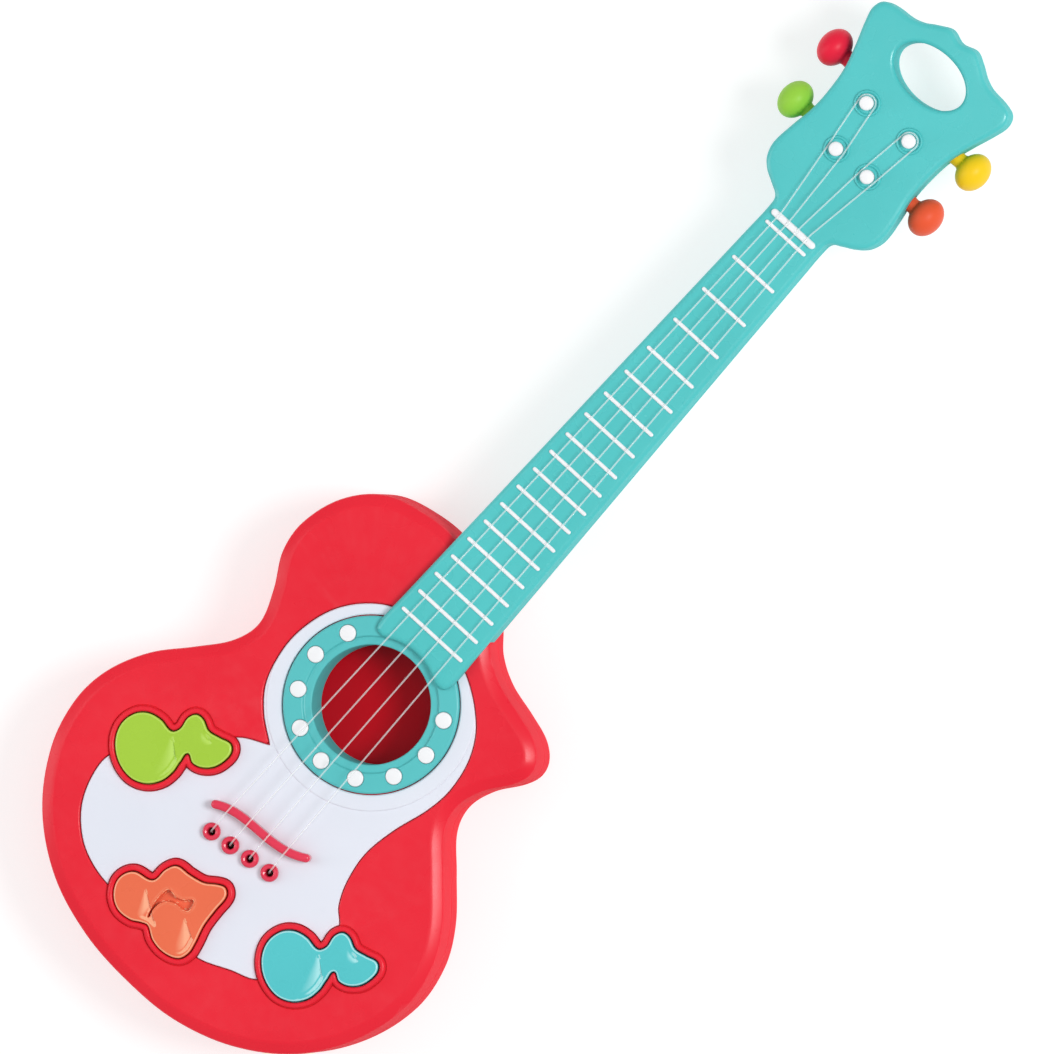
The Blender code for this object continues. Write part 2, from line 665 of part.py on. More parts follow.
def neck_front_shell(neck, body):
    shell = plate("neck_front_shell", neck, NECK_BACK, NECK_FRONT, NECK_EDGE)
    ceiling = NECK_FRONT - NECK_WALL
    over_body = BODY_FRONT + GAP
    cut(
        shell,
        everywhere("below_neck_split", 0, NECK_SPLIT + SEAM),
        plate("body_under_neck", grown(body, GAP), 10, over_body),
        rods("ring_under_neck", [(0, 0)], RING_RADIUS + 2 * GAP, 30, RING_TOP + GAP, 28),
        plate("strip_room", grown(neck, -NECK_WALL), over_body - 0.3, ceiling),
        neck_cavity("neck_front_room", neck, body, 15, over_body - 0.1),
    )
    posts = [(side * x, y) for x, y in (UPPER_POST, LOWER_POST) for side in (-1, 1)]
    grip = [half + NECK_WALL for half in HANDLE_HALF]
    join(
        shell,
        plate("grip_wall_front", ellipse((0, HANDLE_Y), grip), NECK_SPLIT + 2 * SEAM, NECK_FRONT - 1),
        rods("post_bosses", posts, 4.2, 33.5, NECK_FRONT - 1),
        rods("post_collars", posts, 4.6, NECK_FRONT - 1, NECK_FRONT + 0.8),
        rods("neck_front_bosses", NECK_SCREWS, 3.4, NECK_SPLIT + 0.5, NECK_FRONT - 1),
    )
    slots = [bar((0, y), fret_half_length(y) + GAP, FRET_WIDTH / 2 + GAP) for y in fret_places()]
    slots.append(bar((0, NUT_Y), NUT_HALF_LENGTH + GAP, NUT_WIDTH / 2 + GAP))
    cut(
        shell,
        plate("grip_hole_front", ellipse((0, HANDLE_Y), HANDLE_HALF), 10, THROUGH),
        rods("post_holes", posts, POST_RADIUS + 2 * GAP, 30, THROUGH),
        rods("neck_pilots", NECK_SCREWS, 1.5, 28, 38.5, 6),
        plates("fret_slots", slots, 37, 45),
        peg_channels("front_channels"),
    )
    return finish(shell, TEAL, 0.3)


def peg_channels(name):
    """Round channels through the sides of the headstock, one along each row of tuning pegs."""
    radius = (SHAFT_RADIUS + 2 * GAP) * MM
    bm = bmesh.new()
    along_x = Matrix.Rotation(math.pi / 2, 3, "Y")
    for y, _ in PEG_ROWS.values():
        for side in (-1, 1):
            made = bmesh.ops.create_cone(
                bm, cap_ends=True, segments=12, radius1=radius, radius2=radius, depth=30 * MM
            )
            bmesh.ops.rotate(bm, verts=made["verts"], cent=(0, 0, 0), matrix=along_x)
            bmesh.ops.translate(bm, verts=made["verts"], vec=(side * 34 * MM, y * MM, NECK_SPLIT * MM))
    mesh = bpy.data.meshes.new(name)
    bm.to_mesh(mesh)
    bm.free()
    return add_object(name, mesh, PARTS)


def neck_back_shell(neck, body):
    shell = plate("neck_back_shell", neck, NECK_BACK, NECK_FRONT, NECK_BACK_EDGE)
    cut(
        shell,
        everywhere("above_neck_split", NECK_SPLIT - SEAM, THROUGH),
        plate("body_behind_neck", grown(body, GAP), 10, BODY_FRONT + GAP),
        neck_cavity("neck_back_room", neck, body, NECK_BACK + NECK_WALL, THROUGH),
    )
    grip = [half + NECK_WALL for half in HANDLE_HALF]
    join(
        shell,
        block("tongue", (-11, 42, NECK_BACK + 2.3), (11, 76, NECK_SPLIT - GAP)),
        plate("grip_wall_back", ellipse((0, HANDLE_Y), grip), NECK_BACK + 1, NECK_SPLIT - 2 * SEAM),
        rods("neck_back_bosses", NECK_SCREWS, 4.6, NECK_BACK + 1, NECK_SPLIT - 2 * SEAM),
    )
    cut(
        shell,
        plate("grip_hole_back", ellipse((0, HANDLE_Y), HANDLE_HALF), 10, THROUGH),
        rods("neck_counterbores", NECK_SCREWS, 3.3, 20, 28.6),
        rods("neck_screw_holes", NECK_SCREWS, 1.7, 25, 33, 6),
        rods("heel_hole", [HEEL_SCREW], 1.7, 20, 34, 6),
        peg_channels("back_channels"),
    )
    return finish(shell, TEAL, 0.3)


def neck_furniture():
    ys = fret_places()
    low, high = ys[0] - 1.3, ys[-1] + 1.5
    half_low, half_high = fret_half_length(low) + 0.6, fret_half_length(high) + 0.6
    outline = [(half_low, low), (half_high, high), (-half_high, high), (-half_low, low)]
    strip = plate("fret_strip", outline, STRIP_BOTTOM, STRIP_TOP)
    bars = [bar((0, y), fret_half_length(y), FRET_WIDTH / 2) for y in ys]
    cut(strip, rods("strip_holes", NECK_SCREWS[:2], 3.4 + GAP, 30, 45))
    join(strip, plates("fret_bars", bars, STRIP_TOP - 0.4, FRET_TOP))
    finish(strip, WHITE, 0.3)
    nut = plate("nut", bar((0, NUT_Y), NUT_HALF_LENGTH, NUT_WIDTH / 2), NECK_FRONT - 1.7, NUT_TOP)
    finish(nut, WHITE, 0.3)
    profile = [
        (0, 45.6), (2.2, 45.6), (3.0, 45.2), (3.2, 44.5), (POST_RADIUS, 44.4), (POST_RADIUS, 34.5),
        (0, 34.5),
    ]
    for row, (x, y) in (("upper", UPPER_POST), ("lower", LOWER_POST)):
        for side, sign in (("left", -1), ("right", 1)):
            finish(turned(f"string_post_{row}_{side}", profile, at=(sign * x, y, 0)), WHITE, 0.25)


def tuning_pegs():
    colours = {"upper_left": RED, "upper_right": YELLOW, "lower_left": GREEN, "lower_right": ORANGE}
    for row, (y, out) in PEG_ROWS.items():
        profile = []
        for step in range(6):
            angle = math.pi * step / 6
            profile.append((KNOB_RADIUS * math.sin(angle), out + KNOB_HALF_THICKNESS * math.cos(angle)))
        neck_in = out - KNOB_HALF_THICKNESS * 0.85
        profile += [
            (SHAFT_RADIUS, neck_in), (SHAFT_RADIUS, 22.2), (4.4, 22.2), (4.4, 20.6), (SHAFT_RADIUS, 20.6),
            (SHAFT_RADIUS, 19), (0, 19),
        ]
        for side, sign in (("left", -1), ("right", 1)):
            name = f"tuning_peg_{row}_{side}"
            peg = turned(name, profile, at=(0, y, NECK_SPLIT), turn=(0, sign * math.pi / 2, 0))
            finish(peg, colours[f"{row}_{side}"], 0.22)


def string_loops():
    """Two elastic cords. Each leaves a pin, runs over saddle and nut, round an upper post and back."""
    saddle_z = SADDLE_TOP + GAP + STRING_RADIUS
    nut_z = NUT_TOP + GAP + STRING_RADIUS
    post_z = NECK_FRONT + 0.8 + 0.4 + STRING_RADIUS
    reach = POST_RADIUS + GAP + STRING_RADIUS

    def run(index, side_of_post, sign):
        pin_x, pin_y = PINS[index]
        saddle_x = SADDLE_XS[index]
        saddle_y = np.interp(saddle_x, *np.transpose(SADDLE_LINE))
        return [
            (pin_x, pin_y, 31.5), (pin_x, pin_y, 39.6), (pin_x, pin_y + 0.5, 40.6),
            (pin_x, pin_y + 1.6, 41.4),
            (saddle_x, saddle_y - 2.6, saddle_z - 0.15), (saddle_x, saddle_y, saddle_z),
            (NUT_XS[index], NUT_Y, nut_z), (NUT_XS[index] * 1.01, NUT_Y + 3, nut_z - 0.1),
            (sign * LOWER_POST[0] + side_of_post * reach, LOWER_POST[1], post_z),
        ]

    for name, sign, first, last in (("left", -1, 0, 1), ("right", 1, 2, 3)):
        start = run(first, -1, sign)
        end = run(last, 1, sign)
        turns = [math.radians(180 - 22.5 * i) for i in range(9)]
        centre = (sign * UPPER_POST[0], UPPER_POST[1])
        bend = [(centre[0] + reach * math.cos(t), centre[1] + reach * math.sin(t), post_z) for t in turns]
        loop = tube("string_loop_" + name, start + bend + end[::-1], STRING_RADIUS)
        finish(loop, (0.85, 0.93, 0.93), 0.25)


def leads():
    """Insulated wires from the board to the speaker and to the battery contacts."""
    to_speaker = [
        (-44, -52, 20.2), (-46, -46, 17), (-44, -36, 14), (-38, -24, 12), (-34, -10, 11), (-34, 4, 11),
        (-35.5, 10, 11.5), (-36.5, 14, 12.5),
    ]
    to_battery = [
        (30, -60, 20.2), (29, -54, 17), (29, -50, 13), (28.5, -46, 10), (27, -44, 8), (20, -44, 7),
    ]
    finish(tube("speaker_lead", to_speaker, 0.9), BLACK, 0.5)
    finish(tube("battery_lead", to_battery, 0.9), RED, 0.5)


def screws():
    for number, place in enumerate(BODY_SCREWS, 1):
        screw(f"body_screw_{number}", place, 3.4, 19)
    for number, place in enumerate(NECK_SCREWS, 1):
        screw(f"neck_screw_{number}", place, 26.4, 37, 2.7, 1.0)
    screw("neck_heel_screw", HEEL_SCREW, NECK_BACK, 33, 2.7, 1.1)


clear_scene()
PARTS = new_collection("toy_guitar")
CUTTERS = new_collection("cutters")

body_points = smooth(BODY_OUTLINE)
panel_points = smooth(PANEL_OUTLINE)
neck_points = neck_outline()

body_front_shell(body_points, panel_points)
body_back_shell(body_points)
pickguard_panel(panel_points)
sound_hole_pieces()
bridge()
buttons()
circuit()
speaker()
battery_bay()
power_switch()
neck_front_shell(neck_points, body_points)
neck_back_shell(neck_points, body_points)
neck_furniture()
tuning_pegs()
string_loops()
leads()
screws()
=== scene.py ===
"""Looks of a toddler's toy guitar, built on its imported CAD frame.

Lengths are in millimetres in the CAD's frame: +Z out of the front, +Y up the neck, +X to the right seen
from the front, with the origin on the back face below the middle of the sound hole.
"""

import math

import bmesh
import bpy
import numpy as np
from mathutils import Matrix, Vector, geometry


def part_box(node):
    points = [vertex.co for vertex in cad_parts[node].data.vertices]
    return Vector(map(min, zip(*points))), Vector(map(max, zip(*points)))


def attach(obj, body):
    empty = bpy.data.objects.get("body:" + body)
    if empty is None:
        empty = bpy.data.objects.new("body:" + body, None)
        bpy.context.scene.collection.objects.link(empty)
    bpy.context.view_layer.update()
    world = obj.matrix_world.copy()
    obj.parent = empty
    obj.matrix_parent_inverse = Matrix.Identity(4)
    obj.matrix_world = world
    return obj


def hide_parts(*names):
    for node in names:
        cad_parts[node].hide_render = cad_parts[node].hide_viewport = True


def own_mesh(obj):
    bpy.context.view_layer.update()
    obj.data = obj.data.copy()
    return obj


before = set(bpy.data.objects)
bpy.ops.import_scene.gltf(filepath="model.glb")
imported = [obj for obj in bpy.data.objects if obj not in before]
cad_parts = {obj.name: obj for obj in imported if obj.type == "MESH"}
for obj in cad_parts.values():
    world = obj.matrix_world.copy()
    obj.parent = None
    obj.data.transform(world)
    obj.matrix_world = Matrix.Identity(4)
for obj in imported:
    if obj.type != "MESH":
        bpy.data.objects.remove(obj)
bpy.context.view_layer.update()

MM = 0.001
WELD = 1e-7  # in metres
ROOT = "guitar"
GAP = 0.3

BODY_FRONT, BODY_SPLIT = 38.0, 17.0
NECK_FRONT, NECK_SPLIT, NECK_BACK = 42.0, 31.5, 24.5
RING_TOP, PANEL_TOP, RECESS_FLOOR, CEILING = 39.4, 37.6, 35.8, 34.6
FRET_TOP, NUT_TOP, SADDLE_TOP = 42.8, 43.7, 42.6
WELL_FLOOR = 15.2
SEAM = 0.15
BODY_WALL, NECK_WALL, HANDLE_WALL = 2.4, 2.3, 2.0

BODY_OUTLINE = [
    (0, 61), (-18, 66.8), (-34, 66), (-49, 61), (-60, 49), (-65, 33), (-63.5, 20), (-56.5, 7),
    (-52, -6), (-55, -17), (-64, -28.5), (-75.5, -42), (-83, -58), (-84.5, -74), (-79.5, -93),
    (-66, -113), (-46, -128), (-23, -136), (0, -138.5), (23, -137.3), (46, -129.8), (66, -115.7),
    (79, -97), (84.8, -76), (82.5, -58), (75, -43.5), (62, -28.5), (52, -17), (49.3, -7),
    (52.5, 3.5), (59.5, 13.5), (61.8, 20), (60, 26), (54, 31), (44, 34.3), (31, 37.8),
    (21, 43.5), (13, 52),
]
PANEL_OUTLINE = [
    (0, 38), (-18.3, 32.5), (-28, 25.5), (-35, 15.5), (-38.5, 3), (-38.5, -8), (-35, -20.5),
    (-28, -29.5), (-18.3, -36.8, "corner"), (-29.3, -42.8), (-46, -62), (-60.3, -79), (-61, -88),
    (-56.5, -100.5), (-47.8, -109.8), (-38, -114.6), (-27, -116.3), (13, -114.2), (26.7, -109),
    (37.3, -103.8), (46.5, -80), (46.3, -70), (41, -64), (37.3, -55.5), (35.4, -43), (37.5, -29.5),
    (42, -14.5), (43.2, -3), (40.5, 10.5), (33.5, 21.5), (19, 32),
]
NECK_HALF_OUTLINE = [
    (0, 25.7), (4.5, 25.3), (8.8, 24), (12, 22.5), (14.6, 22), (17.2, 23), (18.3, 27), (18, 38),
    (13, 227), (12.8, 238), (13.6, 242), (18, 244.8), (22.5, 247.4), (25.8, 251), (27.4, 256.5),
    (26.5, 265.7), (25, 275), (24.9, 284), (26, 294.5), (28.6, 303.4), (32, 313), (33.2, 318.4),
    (31.6, 322.6), (27, 324.3), (20, 325), (15.5, 326.6), (10.5, 329.7), (5.9, 331.7),
]
NECK_TIP = (0, 330.2)
NOTE_OUTLINE = [
    (-49.2, -57.7), (-55, -57.2), (-60.2, -58.5), (-63.9, -62.3), (-65, -68.4), (-62.3, -74.6),
    (-56.6, -79.2), (-49.4, -80.8), (-43.6, -78.7), (-39.8, -74), (-38.7, -68.6), (-39.2, -64),
    (-39.1, -59.6), (-35.3, -61), (-31.6, -59.9), (-28.4, -56.7), (-27, -52.4), (-27.2, -48.4),
    (-29.5, -46.3), (-33.8, -47.3), (-38.8, -48.2), (-43.3, -46.4), (-46.3, -46.8), (-47.8, -49.8),
    (-47.3, -54.8),
]
BEAMED_OUTLINE = [
    (-27.2, -111.3), (-24.9, -117.1), (-19.9, -120.4), (-14, -120.2), (-9.8, -118), (-7.3, -117.3),
    (-2.3, -120.1), (3.6, -120.8), (9.2, -118.8), (10.9, -114.8), (10.2, -110.2), (8.3, -103.2),
    (7.7, -95.8), (7.4, -89.6), (5, -87.4), (2.1, -88.4), (-2.3, -91.4), (-8.2, -92.8),
    (-14, -93.6), (-16.2, -97.3), (-17.2, -103.6), (-24.6, -106),
]
BEAM_SLOT = [
    (-10.3, -101.9), (-7, -102.2), (-4, -101.3), (-2.2, -99.6), (-1, -98.7), (0.1, -99.5), (0.7, -101.5),
    (0.3, -103.2), (-1.2, -104), (-5, -104.3), (-7.6, -105.6), (-9.1, -107.6), (-9.7, -110.2),
    (-9.5, -112.8), (-8.9, -115), (-9.6, -115.2), (-10.4, -112.8), (-10.9, -110), (-11.2, -107.6),
    (-11.1, -104.6),
]
FACETS = {  # apex, end of the shallow side, end of the deep side, depth
    "note": [
        ((-48.6, -58.0), (-43.7, -78.4), (-38.2, -66.3), 1.3),
        ((-43.1, -47.6), (-38.9, -53.2), (-37.4, -49.9), 0.45),
    ],
    "orange": [
        ((-17.5, -107.4), (-13.4, -118.5), (-9.6, -112.6), 0.9),
        ((0.8, -105.8), (5.0, -118.5), (9.4, -110.2), 1.1),
    ],
}
STEP = 0.2  # width of the wall where a facet ends
SLOT_DEPTH, SLOT_WALL = 2.4, 0.35
PLUNGERS = {"green": (-50.5, -68.5), "orange": (-17.5, -112), "teal": (44.8, -91.8)}
NOTE_TO_TEAL = (95.3, -23.3)
RIM_WIDTH, RIM_GROOVE = 2.7, 0.35
BUTTON_TOP, BUTTON_EDGE, BUTTON_GAP = 40.25, 0.75, 0.45
RING_RADIUS, HOLE_RADIUS, TUBE_RADIUS = 33.2, 22.35, 24.0
ANNULUS_RADIUS = 39.8
DOT_CIRCLE, DOT_RADIUS = 28.0, 3.1
FIRST_FRET = 35.2
FRET_STEPS = [8.93] * 10 + [10.2, 10.6, 11.2, 12.2, 14.4, 15.6, 16.4, 18.0]
NUT_Y, NUT_HALF_LENGTH = 237.6, 10.6
HANDLE_Y, HANDLE_HALF = 313.5, (15.6, 9.9)
UPPER_POST, LOWER_POST = (10.6, 290.6), (7.8, 270.4)
PEG_ROWS = {"upper": (297.2, 34.8), "lower": (273.0, 32.9)}
PINS = [(-13, -75.3), (-4.3, -74.4), (4.5, -73.2), (13.5, -72.1)]
PIN_HOLE = 3.1
FEET, FOOT_HOLE = [(-14.5, -64.9), (15, -60.9)], 1.5
SADDLE_XS = [-13.1, -4.3, 4.5, 13.3]
NUT_XS = [-7.2, -2.8, 1.9, 6.5]
STRING_RADIUS = 0.33
SADDLE_LINE = [
    (-18.4, -66.5), (-13.1, -64.3), (-7.7, -63.3), (0, -62.9), (6, -62.7), (12.6, -61.6), (17.4, -60.1),
    (20.3, -58.5),
]
BODY_SCREWS = [(-24, 57), (47, 11), (-45, -12), (70, -58), (-66, -96), (30, -124)]
NECK_SCREWS = [(0, 110), (0, 190), (-25, 318), (25, 318)]
HEEL_SCREW = (0, 48)
BOARD_POSTS = [(-24, -60), (24, -64)]
SPEAKER = (-38, 35)
SWITCH = (36, 24)
BAY_LOW, BAY_HIGH = (-23.2, -106.0), (23.2, -50.0)
DOOR_LOW, DOOR_HIGH = (-25.5, -108.3), (25.5, -40.5)
DOOR_SCREW = (0, -45)


# Outlines

def smooth(outline, steps):
    """Points along a smooth closed curve through the outline; a third entry keeps a point sharp."""
    places = np.array([point[:2] for point in outline], float)
    count = len(outline)
    points = []
    for i in range(count):
        before, start, end, after = (places[(i + k) % count] for k in (-1, 0, 1, 2))
        if len(outline[i]) > 2:
            before = start
        if len(outline[(i + 1) % count]) > 2:
            after = end
        chord = np.linalg.norm(end - start)
        leave = (end - before) / np.linalg.norm(end - before) * chord
        arrive = (after - start) / np.linalg.norm(after - start) * chord
        pieces = max(1, min(steps, round(chord / 0.5)))
        for t in np.arange(pieces) / pieces:
            points.append(
                (2 * t**3 - 3 * t**2 + 1) * start + (t**3 - 2 * t**2 + t) * leave
                + (3 * t**2 - 2 * t**3) * end + (t**3 - t**2) * arrive
            )
    return np.array(points)


def ellipse(centre, half, count=64):
    turns = 2 * math.pi * (np.arange(count) + 0.5) / count
    return np.column_stack([centre[0] + half[0] * np.cos(turns), centre[1] + half[1] * np.sin(turns)])


def offset(points, distance):
    """The outline moved outwards, point for point; points whose move would make a loop are drawn together."""
    if abs(distance) < 1e-9:
        return points.copy()
    ahead = np.roll(points, -1, 0)
    along = ahead - np.roll(points, 1, 0)
    normal = np.column_stack([along[:, 1], -along[:, 0]])
    moved = points + distance * normal / np.linalg.norm(normal, axis=1)[:, None]
    side = ahead - points
    away = moved[:, None] - points[None]
    share = np.clip((away * side).sum(2) / (side**2).sum(1), 0, 1)
    clearance = np.linalg.norm(away - share[:, :, None] * side, axis=2).min(1)
    good = np.flatnonzero(clearance > 0.96 * abs(distance))
    index = np.arange(len(points))
    return np.column_stack([np.interp(index, good, moved[good, k], period=len(points)) for k in (0, 1)])


def distance_to(outline, places):
    """How far each place is from the outline's line."""
    side = np.roll(outline, -1, 0) - outline
    best = np.full(len(places), 1e9)
    for start, step in zip(outline, side):
        away = places - start
        share = np.clip(away @ step / max(step @ step, 1e-12), 0, 1)
        best = np.minimum(best, np.linalg.norm(away - share[:, None] * step, axis=1))
    return best


def arc(centre, radius, start, end, steps):
    """(distance, height) points on an elliptical quarter or other arc, angles in degrees."""
    rx, rz = (radius, radius) if np.isscalar(radius) else radius
    turns = np.radians(np.linspace(start, end, steps + 1))
    return [(centre[0] + rx * math.cos(t), centre[1] + rz * math.sin(t)) for t in turns]


def raised(base, profile):
    """A profile whose heights are counted from base."""
    return [(distance, base + height) for distance, height in profile]


def round_topped(low, high, edge, start, steps):
    """A profile with an upright side and a rounded upper rim."""
    return [(0, low), (0, high - edge), *arc((-edge, high - edge), edge, start, 90, steps)]


def ribbon(line, width):
    """A band with round ends along a line."""
    places = np.array(line, float)
    along = np.gradient(places, axis=0)
    normal = np.column_stack([along[:, 1], -along[:, 0]]) / np.linalg.norm(along, axis=1)[:, None]
    one_edge, other_edge = places + normal * width / 2, places - normal * width / 2
    points = []
    for end, sign, edge in ((-1, 1, one_edge), (0, -1, other_edge[::-1])):
        points.extend(edge)
        tip = sign * along[end] / np.linalg.norm(along[end])
        for angle in range(15, 180, 15):
            side = sign * math.cos(math.radians(angle)) * normal[end]
            points.append(places[end] + (side + math.sin(math.radians(angle)) * tip) * width / 2)
    return np.array(points)


def rectangle(low, high):
    return np.array([(low[0], low[1]), (high[0], low[1]), (high[0], high[1]), (low[0], high[1])])


def capsule(centre, half_length, radius):
    """A straight band with round ends along X."""
    (x, y), reach = centre, half_length - radius
    turns = np.radians(np.arange(-90, 91, 22.5))
    right = [(x + reach + radius * math.cos(t), y + radius * math.sin(t)) for t in turns]
    left = [(x - reach - radius * math.cos(t), y + radius * math.sin(t)) for t in turns[::-1]]
    return np.array(right + left)


# Meshes

def linked(name, data):
    obj = bpy.data.objects.new(name, data)
    bpy.context.scene.collection.objects.link(obj)
    return obj


def new_object(name, bm):
    bmesh.ops.remove_doubles(bm, verts=bm.verts, dist=WELD)
    bmesh.ops.dissolve_degenerate(bm, edges=bm.edges, dist=WELD)
    bmesh.ops.recalc_face_normals(bm, faces=bm.faces)
    mesh = bpy.data.meshes.new(name)
    bm.to_mesh(mesh)
    bm.free()
    return linked(name, mesh)


def add_walls(bm, outline, profile):
    """The outline carried along (distance outwards, height) pairs, with a flat bottom and an open top."""
    loops = [offset(outline, distance) for distance, _ in profile]
    rows = []
    for loop, (_, z) in zip(loops, profile):
        rows.append([bm.verts.new((x * MM, y * MM, z * MM)) for x, y in loop])
    for lower, upper in zip(rows, rows[1:]):
        for i in range(len(lower)):
            j = (i + 1) % len(lower)
            bm.faces.new((lower[i], lower[j], upper[j], upper[i]))
    bm.faces.new(rows[0][::-1])
    return loops, rows


def swept(name, outline, profile):
    bm = bmesh.new()
    _, rows = add_walls(bm, outline, profile)
    bm.faces.new(rows[-1])
    return new_object(name, bm)


def slab(name, outline, low, high, edge=0.0):
    """A flat solid, with its upper rim rounded if an edge is given."""
    rim = arc((-edge, high - edge), edge, 0, 90, 4) if edge else [(0, high)]
    return swept(name, outline, [(0, low), *rim])


def crowned(name, outline, profile, height, spacing, lines):
    """Like swept, but its top is a surface of the given height, held to the profile's last row at its rim.
    The top's mesh follows the lines, so that a crease along one stays sharp."""
    bm = bmesh.new()
    loops, rows = add_walls(bm, outline, profile)
    rim = loops[-1]
    keep = [0]
    for i in range(1, len(rim)):
        if np.linalg.norm(rim[i] - rim[keep[-1]]) > 1e-4:
            keep.append(i)
    low, high = rim.min(0), rim.max(0)
    xs = np.arange(low[0], high[0], spacing)
    ys = np.arange(low[1], high[1], spacing * 0.866)
    grid = np.array([(x + (k % 2) * spacing / 2, y) for k, y in enumerate(ys) for x in xs])
    grid = grid[inside_of(rim, grid)]
    grid = grid[distance_to(rim, grid) > spacing * 0.55]
    edges = [(i, (i + 1) % len(keep)) for i in range(len(keep))]
    creases = []
    for line in lines:
        gone = np.append(0, np.cumsum(np.linalg.norm(np.diff(line, axis=0), axis=1)))
        steps = np.linspace(0, gone[-1], int(gone[-1] / spacing) + 2)
        spots = np.column_stack([np.interp(steps, gone, np.array(line)[:, k]) for k in (0, 1)])
        spots = spots[inside_of(rim, spots) & (distance_to(rim, spots) > spacing * 0.4)]
        first = len(keep) + len(creases)
        edges += [(first + i, first + i + 1) for i in range(len(spots) - 1)]
        creases.extend(spots)
    apart = np.linalg.norm(grid[:, None] - np.array(creases)[None], axis=2).min(1)
    grid = grid[apart > spacing * 0.55]
    flat = [Vector(point) for point in (*rim[keep], *creases, *grid)]
    places, _, faces, origins, _, _ = geometry.delaunay_2d_cdt(flat, edges, [], 1, 1e-5)
    spots = np.array([tuple(p) for p in places])
    heights = height(spots, distance_to(rim, spots), rim_height=profile[-1][1])
    verts = []
    for (x, y), z, origin in zip(places, heights, origins):
        first = min(origin, default=len(keep))
        on_rim = first < len(keep)
        verts.append(rows[-1][keep[first]] if on_rim else bm.verts.new((x * MM, y * MM, z * MM)))
    for face in faces:
        corners = [verts[i] for i in face]
        if len(set(corners)) == len(corners):
            try:
                bm.faces.new(corners)
            except ValueError:
                pass
    return new_object(name, bm)


def inside_of(outline, places):
    inside = np.zeros(len(places), bool)
    for (x0, y0), (x1, y1) in zip(outline, np.roll(outline, -1, 0)):
        if y0 == y1:
            continue
        crosses = (y0 > places[:, 1]) != (y1 > places[:, 1])
        inside ^= crosses & (places[:, 0] < (x1 - x0) * (places[:, 1] - y0) / (y1 - y0) + x0)
    return inside


def lathe(name, profile, at=(0, 0, 0), axis="Z", steps=64, closed=False):
    """A turned solid from (radius, height) pairs."""
    bm = bmesh.new()
    turns = 2 * math.pi * np.arange(steps) / steps
    rows = []
    for r, z in profile:
        if r < 1e-6:
            rows.append([bm.verts.new((0, 0, z * MM))] * steps)
        else:
            rows.append([bm.verts.new((r * math.cos(t) * MM, r * math.sin(t) * MM, z * MM)) for t in turns])
    pairs = list(zip(rows, rows[1:])) + ([(rows[-1], rows[0])] if closed else [])
    for lower, upper in pairs:
        for i in range(steps):
            j = (i + 1) % steps
            corners = list(dict.fromkeys((lower[i], lower[j], upper[j], upper[i])))
            if len(corners) > 2:
                bm.faces.new(corners)
    if axis != "Z":
        turn = Matrix.Rotation(math.pi / 2 * (1 if axis == "X" else -1), 4, "Y")
        bmesh.ops.transform(bm, verts=bm.verts, matrix=turn)
    bmesh.ops.translate(bm, verts=bm.verts, vec=[v * MM for v in at])
    return new_object(name, bm)


def turned(name, profile, places, steps):
    """The same turned solid at several places."""
    return [lathe(name, profile, (*at, 0), steps=steps) for at in places]


def box(name, low, high, edge=0.0):
    bm = bmesh.new()
    bmesh.ops.create_cube(bm, size=MM)
    bmesh.ops.scale(bm, verts=bm.verts, vec=[b - a for a, b in zip(low, high)])
    bmesh.ops.translate(bm, verts=bm.verts, vec=[(a + b) / 2 * MM for a, b in zip(low, high)])
    if edge:
        bmesh.ops.bevel(bm, geom=bm.edges[:], offset=edge * MM, segments=3, profile=0.5, affect="EDGES")
    return new_object(name, bm)


def rods(name, centres, radius, low, high, segments=24):
    bm = bmesh.new()
    size = {"radius1": radius * MM, "radius2": radius * MM, "depth": (high - low) * MM}
    for x, y in centres:
        made = bmesh.ops.create_cone(bm, cap_ends=True, segments=segments, **size)
        bmesh.ops.translate(bm, verts=made["verts"], vec=(x * MM, y * MM, (low + high) / 2 * MM))
    return new_object(name, bm)


def merged(name, *objects):
    """One object holding several that don't touch."""
    bm = bmesh.new()
    for obj in objects:
        bm.from_mesh(obj.data)
        bpy.data.objects.remove(obj)
    return new_object(name, bm)


def combine(obj, operation, tools):
    for tool in tools:
        modifier = obj.modifiers.new(operation.lower(), "BOOLEAN")
        modifier.operation = operation
        modifier.object = tool
        modifier.solver = "MANIFOLD"
        apply_modifiers(obj)
        bpy.data.objects.remove(tool)
    return obj


def triangulated(obj):
    """Splits the many-sided faces that Booleans leave, each by a triangulation in its own plane."""
    bm = bmesh.new()
    bm.from_mesh(obj.data)
    for face in [face for face in bm.faces if len(face.verts) > 4]:
        corners = face.verts[:]
        normal = face.normal
        u = normal.orthogonal().normalized()
        v = normal.cross(u)
        base = corners[0].co.copy()
        flat = [Vector(((corner.co - base).dot(u), (corner.co - base).dot(v))) / MM for corner in corners]
        border = [list(range(len(flat)))]
        places, _, faces, origins, _, _ = geometry.delaunay_2d_cdt(flat, [], border, 1, 1e-6)
        verts = [
            corners[min(origin)] if origin else bm.verts.new(base + (place[0] * u + place[1] * v) * MM)
            for place, origin in zip(places, origins)
        ]
        bm.faces.remove(face)
        for triangle in faces:
            picked = [verts[i] for i in triangle]
            if len(set(picked)) == 3:
                bm.faces.new(picked)
    bm.normal_update()
    bm.to_mesh(obj.data)
    bm.free()


def cut(obj, *tools):
    return combine(obj, "DIFFERENCE", tools)


def join(obj, *tools):
    return combine(obj, "UNION", tools)


def evaluated(obj):
    bpy.context.view_layer.update()
    graph = bpy.context.evaluated_depsgraph_get()
    return bpy.data.meshes.new_from_object(obj.evaluated_get(graph))


def apply_modifiers(obj):
    mesh = evaluated(obj)
    obj.modifiers.clear()
    obj.data = mesh


